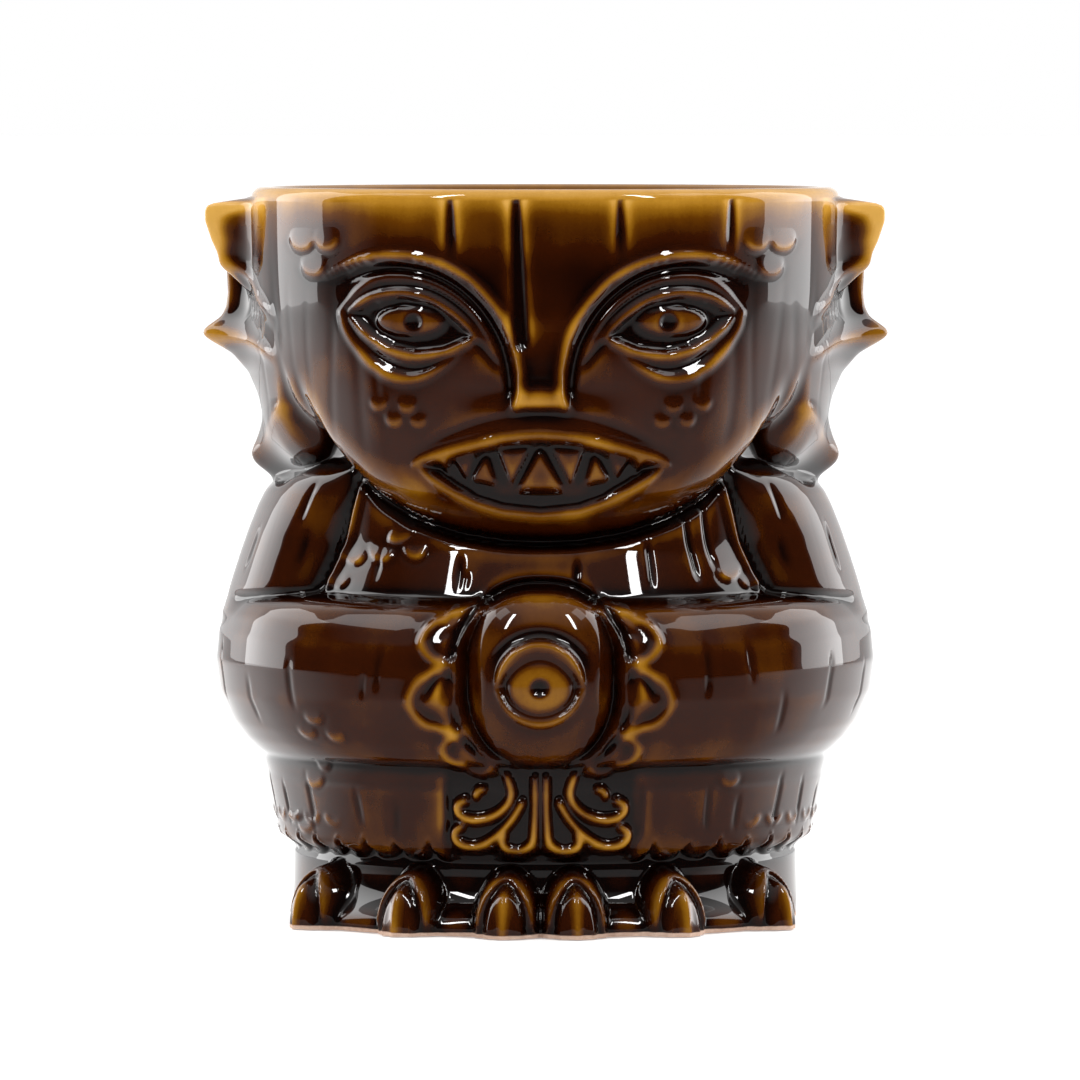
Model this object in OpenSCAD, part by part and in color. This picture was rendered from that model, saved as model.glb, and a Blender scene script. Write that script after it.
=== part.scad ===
// Tiki mug: a glazed stoneware cup in the shape of a squat fish creature that hugs an eyed orb.
// Millimetres, +Z up, the face looks along -Y, and the origin is on the table at the cup's axis.
// Left and right are as seen from the front. Applied clay forms sit face to face on the cup wall.

/* [Cup] */
// Height of the rim above the table
mug_h = 127.5; // [126:0.5:129]
// Outside radius of the rim
rim_r = 51.4; // [51:0.1:52]
// Outside radius of the neck crease under the chin
neck_r = 41; // [40:0.5:42]
// Height of the neck crease at the front
neck_z = 66.6; // [66:0.2:67.5]
// Outside radius of the belly, behind the forearms
belly_r = 49.6; // [49:0.2:50]
// Outside radius of the skirt at the floor joint
skirt_r = 44.2; // [44:0.1:44.6]
// Thickness of the cast wall
wall_t = 4.8; // [4.2:0.2:5.2]

/* [Base] */
// Height of the drinking floor, where the wall meets the base
floor_z = 10; // [9:0.5:11]
// Outside radius of the flat bare foot
foot_r = 42.6; // [42:0.2:43]
// Thickness of the bare foot
foot_h = 0.7; // [0.5:0.1:1.5]

/* [Arms] */
// Height of the underside of the forearms
arm_z = 28.5; // [28:0.25:29.5]
// Height of the elbow shelf, where upper arm and forearm meet
shelf_z = 56.3; // [56:0.1:57]
// Height of the top of the shoulders
shoulder_z = 78.5; // [77.5:0.5:80]
// How far a forearm stands out of the cup wall
forearm_t = 9.4; // [8.5:0.1:9.8]
// How far an upper arm stands out of the cup wall
upper_arm_t = 8; // [6.5:0.25:8.5]

/* [Orb] */
// Half width of the orb between the hands
orb_w = 12.6; // [12:0.2:13]
// Height of the orb's middle
orb_z = 44; // [43.5:0.25:45]
// Outside radius of its eyelid ring
orb_lid_r = 7.6; // [7:0.2:8]

/* [Fins] */
// Thickness of a fin membrane
fin_t = 3.2; // [2.6:0.2:4]

/* [Feet] */
// Half width of a toe
toe_w = 7; // [6.5:0.25:7.25]
// Height of a toe
toe_h = 10.4; // [9.5:0.2:11]
// How far the toe tips stand from the cup's axis
toe_reach = 53; // [52:0.5:54]

/* [Hidden] */
$fn = 96;

glaze = [0.32, 0.17, 0.05];
amber = [0.62, 0.38, 0.08];
bare_clay = [0.78, 0.62, 0.5];

rim_round = 2; // radius of the rolled rim
far = 90; // longer than anything on the mug

// Outline of the cup wall, [radius, height], from the floor joint up to the neck
torso_knots = [[skirt_r, floor_z], [skirt_r + 1.7, 15], [belly_r - 0.4, 27.5], [belly_r, 42],
               [belly_r - 1.6, 54], [neck_r + 3, 62], [neck_r, neck_z]];
// and from the neck up to the rim
head_knots = [[neck_r, neck_z], [44.4, neck_z + 3.4], [47.2, 78], [48.9, 87], [50.2, 97],
              [rim_r - 0.4, 108], [rim_r, mug_h - rim_round]];

function catmull(a, b, c, d, t) =
    0.5 * (2 * b + (c - a) * t + (2 * a - 5 * b + 4 * c - d) * t * t + (3 * b - a - 3 * c + d) * t * t * t);
// A smooth line through knots, with n steps between neighbours
function smooth(k, n = 3) = concat(
    [for (i = [0 : len(k) - 2], j = [0 : n - 1])
        catmull(k[max(i - 1, 0)], k[i], k[i + 1], k[min(i + 2, len(k) - 1)], j / n)],
    [k[len(k) - 1]]);
function inset(line, t) = [for (p = line) [p[0] - t, p[1]]];
function reversed(line) = [for (i = [len(line) - 1 : -1 : 0]) line[i]];
function arc(centre, r, a0, a1, n = 6) =
    [for (i = [0 : n]) centre + r * [cos(a0 + (a1 - a0) * i / n), sin(a0 + (a1 - a0) * i / n)]];

torso_line = smooth(torso_knots, 3);
head_line = smooth(head_knots, 3);
wall_line = concat(torso_line, [for (i = [1 : len(head_line) - 1]) head_line[i]]);
wall_table = [for (p = wall_line) [p[1], p[0]]];
// Outside radius of the cup wall at a height
function wall_r(z) = z < floor_z ? skirt_r : lookup(z, wall_table);
// The piece of the cup's outline between two heights
function wall_piece(z0, z1) = concat(
    [[wall_r(z0), z0]], [for (p = wall_line) if (p[1] > z0 && p[1] < z1) p], [[wall_r(z1), z1]]);

// ---- helpers ----

// Extrudes an outline drawn in the front view, [x, z], towards the viewer
module front_prism() { rotate([90, 0, 0]) linear_extrude(height = far) children(); }

// The space inside the cup's outer face, grown by t
module cup_space(t = 0) {
    rotate_extrude() polygon(concat(
        [[0, -1], [foot_r + t, -1], [foot_r + t, 0], [skirt_r + t, 2.6]], inset(wall_line, -t), [[0, mug_h - rim_round]]));
}

// A front-view outline laid on the cup's face like a slip of clay, t thick
module slip(t) {
    difference() {
        intersection() {
            front_prism() children();
            cup_space(t);
        }
        cup_space();
    }
}

module left_or_right(side) { if (side == "left") children(); else mirror([1, 0, 0]) children(); }

// A stroke of constant width along a smooth line
function normal_at(line, i) =
    let (d = line[min(i + 1, len(line) - 1)] - line[max(i - 1, 0)]) [-d[1], d[0]] / norm(d);
function stroke(line, w) = concat(
    [for (i = [0 : len(line) - 1]) line[i] + normal_at(line, i) * w / 2],
    reversed([for (i = [0 : len(line) - 1]) line[i] - normal_at(line, i) * w / 2]));

// An almond: two bowed lines that meet in its corners
function almond(w, up, down, n = 10) = concat(
    [for (i = [-n : n]) [w * i / n, up * (1 - pow(i / n, 2))]],
    [for (i = [n - 1 : -1 : 1 - n]) [w * i / n, -down * (1 - pow(i / n, 2))]]);

// ---- cup ----

module head_bowl() {
    outer = concat(head_line, arc([rim_r - rim_round, mug_h - rim_round], rim_round, 15, 90));
    inner = concat(arc([rim_r - wall_t + rim_round, mug_h - rim_round], rim_round, 90, 165),
                   reversed(inset(head_line, wall_t)));
    color(glaze) rotate_extrude() polygon(concat(outer, inner));
}

module torso_bowl() {
    fillet_r = 7;
    inner = [for (p = inset(torso_line, wall_t)) if (p[1] > floor_z + fillet_r) p];
    heel = arc([inner[0][0] - fillet_r - 0.4, floor_z + fillet_r], fillet_r, 0, -80);
    color(glaze) rotate_extrude()
        polygon(concat(torso_line, reversed(inner), heel, [[heel[len(heel) - 1][0] - 1.2, floor_z]]));
}

module plinth() {
    color(glaze) rotate_extrude() polygon(
        [[0, foot_h], [foot_r + 0.5, foot_h], [skirt_r, 2.6], [skirt_r, floor_z], [0, floor_z]]);
}

module bare_foot() {
    color(bare_clay) rotate_extrude()
        polygon([[0, 0], [foot_r, 0], [foot_r + 0.5, foot_h], [0, foot_h]]);
}

// ---- fins ----

fin_outline = [[46, 125.6], [56.8, 125.4], [59.4, 124.4], [59.9, 122.2], [58.9, 119], [56.9, 114],
               [56.4, 109.5], [57, 105.6], [60.2, 103.2], [60.2, 101.4], [58.2, 100], [55.2, 98.4],
               [53, 94.8], [51.3, 90.4], [50.2, 86.6], [50.8, 83.4], [51.7, 80.8], [51, 79],
               [49, 78.4], [44, 78.2]];

// Rays of the fin: [root, tip], each [x, z]
fin_rays = [[[46, 116], [58.6, 123.2]], [[46, 104.4], [59.4, 102.4]], [[46, 92.5], [50.9, 80.5]]];
ray_r = 2.6; // radius of a ray at its root

module fin_ray(ray) {
    run = ray[1] - ray[0];
    translate([ray[0][0], 0, ray[0][1]]) rotate([0, atan2(run[0], run[1]), 0])
        cylinder(h = norm(run), r1 = ray_r, r2 = 0.7);
}

module fin(side) {
    color(glaze) left_or_right(side) mirror([1, 0, 0]) difference() {
        union() {
            translate([0, fin_t / 2, 0]) rotate([90, 0, 0]) linear_extrude(height = fin_t) polygon(fin_outline);
            for (ray = fin_rays) fin_ray(ray);
        }
        cup_space();
        arm_space("right");
    }
}

// ---- arms ----

// A clay coil wrapped on the cup between two heights and two angles from the front.
// A lean under 1 carries its fullest part lower.
module wrapped(z0, z1, t, a0, a1, lean = 1) {
    n = 10;
    outer = [for (i = [1 : n - 1]) let (f = i / n) [
        wall_r(z0) * (1 - f) + wall_r(z1) * f + t * pow(sin(180 * pow(f, lean)), 0.6), z0 + (z1 - z0) * f]];
    rotate([0, 0, -90 - a1]) rotate_extrude(angle = a1 - a0)
        polygon(concat(wall_piece(z0, z1), reversed(outer)));
}

// All that the arms fill, so that a neighbour can be cut back from them
module arm_space(side) {
    mirror([side == "left" ? 0 : 1, 0, 0]) {
        wrapped(shelf_z, shoulder_z, upper_arm_t, 54, 124, 0.62);
        wrapped(arm_z, shelf_z, forearm_t, 9, 124);
    }
}

module upper_arm(side) {
    color(glaze) left_or_right(side) wrapped(shelf_z, shoulder_z, upper_arm_t, 54, 124, 0.62);
}

module forearm(side) {
    color(glaze) left_or_right(side) difference() {
        wrapped(arm_z, shelf_z, forearm_t, 9, 124);
        front_prism() orb_outline();
        hand_space();
    }
}

// ---- hands ----

finger_heights = [51.5, 41, 32.5]; // middles of the three finger lobes, from the top
finger_half = [5, 5.1, 3.2]; // half their heights
finger_turns = [20.5, 22, 17.5]; // their angles from the front

module hand_space() {
    for (i = [0 : 2]) rotate([0, 0, -finger_turns[i]])
        translate([0, -wall_r(finger_heights[i]) - 5, finger_heights[i]])
            scale([0.9, 0.9, finger_half[i] / 5]) sphere(5);
}

module hand(side) {
    color(glaze) left_or_right(side) difference() {
        hand_space();
        cup_space();
        front_prism() orb_outline();
    }
}

// ---- orb ----

orb_front = -wall_r(orb_z) - 8.6; // y of the orb's face

// The orb's outline in the front view
module orb_outline() { translate([0, orb_z]) scale([orb_w / 15, 1]) circle(15); }

module orb_form() {
    intersection() {
        front_prism() orb_outline();
        translate([0, orb_front + 20, orb_z]) sphere(20);
    }
}

module orb_body() {
    color(glaze) difference() {
        orb_form();
        cup_space();
        orb_eye_socket();
    }
}

module orb_eye_socket() {
    translate([0, orb_front - 1, orb_z - 0.8]) rotate([-90, 0, 0]) cylinder(h = 5, r = orb_lid_r);
}

module orb_eyelid() {
    color(amber) translate([0, orb_front + 4, orb_z - 0.8]) rotate([90, 0, 0]) rotate_extrude()
        polygon(concat([[orb_lid_r - 1.6, 0], [orb_lid_r, 0]],
                       arc([orb_lid_r - 0.8, 4], 0.8, 0, 180)));
}

module orb_eyeball() {
    color(amber) difference() {
        translate([0, orb_front + 4, orb_z - 0.8]) rotate([90, 0, 0]) rotate_extrude()
            polygon(concat([[0, 0], [orb_lid_r - 1.6, 0], [orb_lid_r - 1.6, 1.5]],
                           [[orb_lid_r - 3, 2.8], [2.4, 3.8], [0, 4]]));
        translate([0, orb_front - 1, orb_z - 0.8]) rotate([-90, 0, 0]) cylinder(h = 4, r = 1.3);
    }
}

// ---- tentacles ----

tentacle_paths = [
    [[-4.9, 28.6], [-4.6, 25.8], [-5.8, 23.2], [-8.4, 20.6], [-11.2, 19.8], [-13.6, 20.8], [-14.2, 22.8], [-12.9, 23.8]],
    [[-2.9, 22.6], [-5.1, 19.8], [-7.5, 17], [-10, 15.4], [-12.6, 15.2], [-14.4, 16.6], [-13.9, 18.4]],
    [[-0.8, 26.6], [-0.9, 21], [-1.2, 17], [-2.4, 14.6], [-4.6, 14.1], [-6.2, 15.2], [-6.2, 16.8]],
    [[-11.2, 23.7], [-10.8, 24.9], [-9.3, 25.1]]];

module tentacles() {
    color(amber) for (side = ["left", "right"]) left_or_right(side)
        for (path = tentacle_paths) slip(1.5) polygon(stroke(smooth(path, 3), 1.3));
}

// ---- face ----

brow_path = [[-37, 112.9], [-33, 114.8], [-29.2, 116], [-25.2, 116.2], [-21.3, 115.7], [-17.4, 114.6],
             [-13.5, 113], [-9.6, 110], [-7, 107], [-5, 103], [-3.9, 99], [-3.2, 95], [-3.4, 91.6]];
brow_w = 2; // width of the brow ridge

module brow_and_nose() {
    line = smooth(brow_path, 2);
    low = [for (i = [0 : len(line) - 1]) line[i] + normal_at(line, i) * brow_w / 2];
    high = reversed([for (i = [0 : len(line) - 1]) line[i] - normal_at(line, i) * brow_w / 2]);
    half = concat(reversed(high), reversed(low));
    color(glaze) slip(2.2) union() {
        for (m = [0, 1]) mirror([m, 0, 0]) polygon(half);
        polygon([[-4.4, 90.5], [4.4, 90.5], [3, 95.5], [-3, 95.5]]);
    }
}

eye_at = [-22.2, 104.4]; // middle of the left eye in the front view
eye_tilt = -9; // the outer corner is higher
lid_w = 11; // half width of the eye opening

module eye_plane() { translate(eye_at) rotate(eye_tilt) children(); }

module eyelids(side) {
    color(glaze) left_or_right(side) slip(1.4) eye_plane() difference() {
        polygon(almond(lid_w + 1.4, 6.6, 9.4));
        polygon(almond(lid_w, 5, 4.2));
    }
}

module eyeball(side) {
    color(amber) left_or_right(side) slip(0.9) difference() {
        translate(eye_at + [0, 0.7]) scale([6.1 / 2.5, 1]) circle(2.5);
        translate(eye_at + [0.5, 0.7]) circle(1.25);
    }
}

mouth_at = [0, 80.6]; // the mouth's corners lie at this height
mouth_w = 21.5; // half width of the mouth

module lips() {
    color(amber) slip(1.5) translate(mouth_at) difference() {
        polygon(almond(mouth_w, 5.6, 9.2));
        polygon(almond(mouth_w - 1.6, 4.2, 7.8));
    }
}

tooth_tips = [[0, 5, 1], [4.6, 4.2, -1], [8.8, 3.4, 1], [12.4, 2.4, -1]]; // x, half height, +1 points up

module teeth() {
    color(amber) slip(0.9) for (side = ["left", "right"]) left_or_right(side) for (t = tooth_tips)
        if (side == "left" || t[0] > 0) translate([-t[0], 80.2 - t[0] * 0.04])
            polygon([[-0.42 * t[1], -t[2] * t[1] / 1.6], [0.42 * t[1], -t[2] * t[1] / 1.6], [0, t[2] * t[1] / 1.6]]);
}

// ---- feet ----

toe_turns = [7.2, 28, 53]; // angles of one foot's toes from the front

module at_toes(side) {
    left_or_right(side) for (a = toe_turns) rotate([0, 0, -a]) children();
}

module above_table() { intersection() { children(); translate([-far, -far, 0]) cube([2 * far, 2 * far, far]); } }

module claw_form() {
    translate([0, -toe_reach + 9.4, 0]) scale([2.6, 9.4, 8.6] / 8.6) sphere(8.6);
}

module foot(side) {
    color(glaze) above_table() at_toes(side) difference() {
        intersection() {
            translate([0, -toe_reach + 9.4, 0]) scale([toe_w, 9.4, toe_h] / toe_h) sphere(toe_h);
            rotate([0, 0, -90]) linear_extrude(height = far) polygon([[0, 0], [far, -far / 6.2], [far, far / 6.2]]);
        }
        cup_space();
        claw_form();
    }
}

module toe_claws(side) {
    color(amber) above_table() at_toes(side) difference() {
        claw_form();
        cup_space();
    }
}

// ---- hem ----

hem_count = 44; // scales round the hem
hem_low = 12.4; // height of their lower edge
hem_high = 17.2; // height of their upper edge

module hem_scales() {
    pitch = 360 / hem_count;
    color(glaze) for (i = [0 : hem_count - 1])
        wrapped(hem_low, hem_high, 1.3, i * pitch + 0.5, (i + 1) * pitch - 0.5);
}

head_bowl();
torso_bowl();
plinth();
bare_foot();
fin("left");  // left_fin
fin("right");  // right_fin
upper_arm("left");  // left_upper_arm
upper_arm("right");  // right_upper_arm
forearm("left");  // left_forearm
forearm("right");  // right_forearm
hand("left");  // left_hand
hand("right");  // right_hand
orb_body();
orb_eyelid();
orb_eyeball();
tentacles();
brow_and_nose();
eyelids("left");  // left_eyelids
eyelids("right");  // right_eyelids
eyeball("left");  // left_eyeball
eyeball("right");  // right_eyeball
lips();
teeth();
foot("left");  // left_foot
foot("right");  // right_foot
toe_claws("left");  // left_toe_claws
toe_claws("right");  // right_toe_claws
hem_scales();
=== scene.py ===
import math

import bpy
import numpy as np
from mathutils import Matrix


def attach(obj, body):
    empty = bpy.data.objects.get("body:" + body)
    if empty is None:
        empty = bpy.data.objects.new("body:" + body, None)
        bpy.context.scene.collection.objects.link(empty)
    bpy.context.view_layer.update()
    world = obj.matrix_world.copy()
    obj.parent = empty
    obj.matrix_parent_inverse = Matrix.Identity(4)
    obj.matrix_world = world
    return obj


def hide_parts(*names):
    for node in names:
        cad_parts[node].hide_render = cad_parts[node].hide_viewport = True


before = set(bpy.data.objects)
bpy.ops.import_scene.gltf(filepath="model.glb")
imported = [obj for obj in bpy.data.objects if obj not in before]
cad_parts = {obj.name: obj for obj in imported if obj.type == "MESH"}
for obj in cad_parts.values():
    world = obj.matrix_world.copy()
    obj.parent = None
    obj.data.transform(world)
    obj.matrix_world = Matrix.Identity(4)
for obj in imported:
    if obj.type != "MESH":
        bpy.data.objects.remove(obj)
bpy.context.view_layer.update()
MM = 0.001

# ---------------------------------------------------------------- camera

CAMERA_DISTANCE = 1.7
CAMERA_HEIGHT = 0.144
CAMERA_TURN = math.radians(0.95)  # the viewer stands a touch to the mug's right
VIEW_WIDTH = 0.189  # how much is seen across at the mug's axis
AIM = (-0.0009, 0.0, 0.0656)


def place_camera():
    data = bpy.data.cameras.new("camera")
    data.sensor_width = 36
    data.lens = 36 * CAMERA_DISTANCE / VIEW_WIDTH
    data.clip_end = 40
    camera = bpy.data.objects.new("camera", data)
    bpy.context.collection.objects.link(camera)
    away = (math.sin(CAMERA_TURN) * CAMERA_DISTANCE, -math.cos(CAMERA_TURN) * CAMERA_DISTANCE)
    camera.location = (AIM[0] + away[0], AIM[1] + away[1], CAMERA_HEIGHT)
    drop = CAMERA_HEIGHT - AIM[2]
    camera.rotation_euler = (math.pi / 2 - math.atan2(drop, CAMERA_DISTANCE), 0, CAMERA_TURN)
    bpy.context.scene.camera = camera


place_camera()

# ---------------------------------------------------------------- the clay's skin, as a sheet round the cup
# Angles are degrees from the front, positive to the viewer's right.
# Lengths are millimetres until a mesh is made.

LIP_Z = 125.5  # where the rim starts to round over
LIP_R = 51.4
LIP_ROUND = 2.0
NECK_Z = 66.6
FLOOR_Z = 10.0
FOOT_H = 0.7
FOOT_ROWS = 2
WALL_T = 4.8

WALL_HEIGHTS = [0, FOOT_H, 2.6, FLOOR_Z, 15, 27.5, 42, 54, 62, NECK_Z, 70, 78, 87, 97, 108, LIP_Z]
WALL_RADII = [42.6, 43.1, 44.2, 44.2, 45.9, 49.2, 49.6, 48, 44, 41, 44.4, 47.2, 48.9, 50.2, 51, LIP_R]


def runs(parts):
    """Evenly spaced values, one run after another, each given by its start, its end and its count."""
    return np.concatenate([np.linspace(low, high, count, endpoint=False) for low, high, count in parts])


def columns():
    """Angles of the sheet's columns: close together on the face and at the fins, wider behind."""
    spacing = [(0, 68, 0.445), (68, 98, 0.34), (98, 128, 0.9), (128, 180, 1.6)]
    right = runs([(low, high, round((high - low) / gap)) for low, high, gap in spacing])
    return np.concatenate([-right[:0:-1], right, [180.0]])


def rows():
    """Heights of the outer rows, with lines exactly at the foot, the floor and the neck."""
    counts = [(0, FOOT_H, FOOT_ROWS), (FOOT_H, FLOOR_Z, 24), (FLOOR_Z, NECK_Z, 138), (NECK_Z, LIP_Z, 137)]
    return np.append(runs(counts), LIP_Z)


ANGLE = columns()
HEIGHT = rows()
TURN = np.radians(ANGLE)
AROUND, Z = np.meshgrid(ANGLE, HEIGHT)
SIDE = np.abs(AROUND)
TURN_ALL = np.radians(AROUND)


def rounded(line, gap, reach, round_off):
    """A line of values a gap apart, with its corners rounded off."""
    away = np.arange(-reach, reach + 1) * gap
    weight = np.exp(-((away / round_off) ** 2))
    return np.convolve(np.pad(line, reach, mode="edge"), weight / weight.sum(), mode="valid")


def soft_steps(heights, knots_z, knots_r, round_off):
    """Straight runs between knots, rounded off at the knots."""
    fine = np.arange(-6, 134, 0.1)
    return np.interp(heights, fine, rounded(np.interp(fine, knots_z, knots_r), 0.1, 40, round_off))


def soft_by_angle(angles, values, round_off):
    """A value by angle from the front, the same left and right, rounded off between its knots."""
    fine = np.arange(-200, 200.01, 0.25)
    return np.interp(AROUND, fine, rounded(np.interp(np.abs(fine), angles, values), 0.25, 48, round_off))


def step(a, b, v):
    """0 below a, 1 above b, smooth between."""
    t = np.clip((v - a) / (b - a), 0, 1)
    return t * t * (3 - 2 * t)


def higher(a, b, soft):
    """The larger of two, with the inner corner rounded."""
    h = np.clip(0.5 + 0.5 * (a - b) / soft, 0, 1)
    return b + (a - b) * h + soft * h * (1 - h)


def short_way(degrees):
    """Degrees round the cup taken the short way, from -180 to 180."""
    return (degrees + 180) % 360 - 180


WALL = np.interp(HEIGHT, WALL_HEIGHTS, WALL_RADII)[:, None] + 0 * AROUND
X = WALL * np.sin(TURN_ALL)  # where the sheet is seen from the front
FRONT = np.cos(TURN_ALL) > -0.1


def blank(kind=float):
    return np.zeros(X.shape, kind)


def blank_sides():
    """An empty mask for the left, -1, and one for the right, 1."""
    return {-1: blank(bool), 1: blank(bool)}


class Line:
    """A smooth line in the front view, and each spot's distance from it, place along it and side of it.

    side is 1 to the right of the way the line runs. around stands for X where a form has its own arc.
    """

    def __init__(self, points, reach=4.0, mirrored=False, around=None):
        across = X if around is None else around
        if mirrored:
            across = -across
        pts = np.array(points, float)
        if len(pts) > 2:
            pts = self.smooth(pts)
        low, high = pts.min(0) - reach, pts.max(0) + reach
        near = (across > low[0]) & (across < high[0]) & (Z > low[1]) & (Z < high[1])
        if around is None:
            near &= FRONT
        px, pz = across[near], Z[near]
        best = np.full(px.shape, 1e9)
        along = np.zeros(px.shape)
        side = np.zeros(px.shape)
        run = np.concatenate([[0], np.cumsum(np.hypot(*np.diff(pts, axis=0).T))])
        for (ax, az), (bx, bz), s0, s1 in zip(pts[:-1], pts[1:], run[:-1], run[1:]):
            ux, uz = bx - ax, bz - az
            t = np.clip(((px - ax) * ux + (pz - az) * uz) / (ux * ux + uz * uz + 1e-12), 0, 1)
            dist = np.hypot(px - ax - t * ux, pz - az - t * uz)
            closer = dist < best
            best = np.where(closer, dist, best)
            along = np.where(closer, (s0 + t * (s1 - s0)) / run[-1], along)
            side = np.where(closer, np.sign((px - ax) * uz - (pz - az) * ux), side)
        self.near = near
        self.dist = np.full(X.shape, 1e9)
        self.dist[near] = best
        self.along = np.zeros(X.shape)
        self.along[near] = along
        self.side = np.zeros(X.shape)
        self.side[near] = side

    @staticmethod
    def smooth(pts):
        """The points, with three more on a smooth curve between each two."""
        ext = np.vstack([2 * pts[0] - pts[1], pts, 2 * pts[-1] - pts[-2]])
        fine = []
        for i in range(1, len(ext) - 2):
            a, b, c, d = ext[i - 1 : i + 3]
            for t in np.arange(0, 1, 0.25):
                fine.append(0.5 * (2 * b + (c - a) * t + (2 * a - 5 * b + 4 * c - d) * t**2
                                   + (3 * b - a - 3 * c + d) * t**3))
        return np.array(fine + [ext[-2]])

    def bump(self, width, start=1.0, end=1.0, ease=0.12):
        """A rounded profile across the line, that may narrow to either end."""
        taper = np.minimum(step(-0.02, ease, self.along) * (1 - start) + start,
                           step(-0.02, ease, 1 - self.along) * (1 - end) + end)
        half = np.maximum(width / 2 * taper, 1e-3)
        out = np.zeros(X.shape)
        d = np.clip(self.dist / half, 0, 1)
        out[self.near] = ((1 - d**2) ** 1.5)[self.near] * np.minimum(taper * 1.5, 1)[self.near]
        return out


def inside_corners(corners, mirrored=False):
    """How deep each spot is inside a convex shape whose corners run clockwise."""
    across = -X if mirrored else X
    depth = np.full(X.shape, 1e9)
    pts = np.array(corners, float)
    for (ax, az), (bx, bz) in zip(pts, np.roll(pts, -1, axis=0)):
        ux, uz = bx - ax, bz - az
        depth = np.minimum(depth, ((across - ax) * -uz + (Z - az) * ux) / -math.hypot(ux, uz))
    return np.where(FRONT, depth, -9)


pool_and_shade_extra = blank()  # where more glaze gathers than the shape alone says, and painted shade between the toes
even_glaze = blank()  # where its depth hardly follows the shape


def scale_mark(x, z, size):
    """One fish scale: a tilted plate, proud at its round lower edge. Also gives that edge, and the disc."""
    dx, dz = X - x, Z - z
    d = np.hypot(dx, dz)
    plate = step(1.1 * size, 0.8 * size, d) * step(0.9 * size, -1.0 * size, dz)
    crescent = np.exp(-(((d - 0.8 * size) / (0.22 * size)) ** 2)) * step(0.2 * size, -0.7 * size, dz)
    ditch = np.exp(-(((d - 1.2 * size) / (0.22 * size)) ** 2)) * step(0.35 * size, -0.6 * size, dz)
    seen = np.cos(TURN_ALL) > 0.05
    disc = step(1.5 * size, 1.1 * size, d)
    return (0.42 * plate - 0.05 * ditch) * seen, (0.5 * crescent - 0.08 * ditch) * seen, disc * seen


def lay_scales(surface, places):
    """Lays scales, each given as (x, z, size), on a surface, with thin glaze along their edges."""
    for x, z, size in places:
        plate, crescent, disc = scale_mark(x, z, size)
        surface += plate
        pool_and_shade_extra[:] -= crescent
        even_glaze[:] = np.maximum(even_glaze, disc)


# ---------------------------------------------------------------- head

JAW_ANGLES = [0, 8.5, 20.3, 32.3, 41.3, 46, 51.5, 55, 58.5, 61, 63.5, 67, 73, 90, 110, 125, 140, 180]
JAW_HEIGHTS = [66.3, 66.5, 67.7, 70.2, 73.1, 75.5, 79.0, 81.8, 85.0, 86.0, 83.6, 79.5, 77.2, 77, 76.2, 72,
               68.5, 67]
JAW_R = 46
JAW_ROLL_IN = 7.2
JAW_ROLL_UP = 10.0
jaw_z = soft_by_angle(JAW_ANGLES, JAW_HEIGHTS, 2.2)
above_jaw = Z - jaw_z
jaw_slope = np.gradient(jaw_z, axis=1) / (np.gradient(TURN_ALL, axis=1) * JAW_R)
jaw_reach = above_jaw / np.sqrt(1 + jaw_slope**2)  # straight from the jaw's edge, not straight up

head_wall = soft_steps(Z, [62, 70, 78, 87, 97, 108, 134], [43.6, 45.4, 47.2, 48.9, 50.2, 51, LIP_R], 2.5)
jaw_roll = JAW_ROLL_IN * (1 - np.clip(jaw_reach / JAW_ROLL_UP, 0, 1)) ** 2.4
head = head_wall - jaw_roll

# broad soft swellings: the cheeks and the muzzle round the mouth
head += 0.7 * np.exp(-(((np.abs(X) - 26) / 9) ** 2 + ((Z - 90) / 7) ** 2)) * FRONT
head += 0.9 * np.exp(-((X / 15) ** 2 + ((Z - 80) / 8) ** 2)) * FRONT

BROW = [(-37.5, 112.3), (-31.7, 114.9), (-27.4, 115.8), (-22.9, 115.8), (-18.4, 114.9), (-14.2, 113.1),
        (-10.5, 110.3), (-7.1, 106.0), (-4.9, 101.5), (-3.9, 97), (-3.6, 93.4), (-4.4, 90.9)]
BROW_FURROW = [(-35, 110.8), (-31, 113.0), (-26.5, 113.9), (-21.5, 113.5), (-16.8, 111.9), (-12.6, 109),
               (-9.3, 105.2), (-6.9, 100.8), (-5.7, 96.3), (-5.3, 93)]
UPPER_FOLD = [(-33.9, 107.2), (-31.5, 110.0), (-28, 112.1), (-23.5, 112.5), (-19, 111.6), (-15.2, 109.7),
              (-12, 107), (-9.4, 103.8), (-7.2, 100.2)]
FOLD_FURROW = [(-31.5, 109.2), (-28.2, 110.7), (-24, 111.1), (-20.1, 110.7), (-15.6, 108.7), (-11.8, 105.6),
               (-8.9, 102)]
UPPER_LID = [(-32.9, 106.6), (-29.7, 108.8), (-26.1, 109.8), (-22.3, 109.8), (-18.8, 108.9), (-15.6, 107),
             (-12.9, 104.7), (-10.9, 102.3)]
LOWER_LID = [(-32.9, 105.6), (-30.9, 103.6), (-28.3, 101.6), (-25.3, 100.1), (-21.9, 99.2), (-18.6, 99.2),
             (-15.4, 100), (-12.5, 101.5), (-11, 102)]
BAG_FURROW = [(-31.2, 102.3), (-28.6, 99.6), (-25.4, 97.7), (-21.8, 96.9), (-18.6, 97.5), (-15.4, 99.2)]
BAG = [(-34.3, 106.4), (-33.4, 103.4), (-31.1, 100), (-28, 97), (-24.6, 95.2), (-21.2, 95.1), (-17.9, 96.5),
       (-15, 98.4), (-12.9, 100.6)]
TEAR_FURROW = [(-11.4, 101.9), (-9.2, 99.4), (-6.8, 96.6)]
EYE_OPENING = [(-32.7, 106.1), (-29.2, 108.2), (-23.8, 109.3), (-18.2, 107.9), (-14.2, 105.2), (-11.5, 102.5),
               (-16.3, 100.3), (-21.4, 99.6), (-25.6, 100.5), (-29.2, 102.6)]
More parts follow.
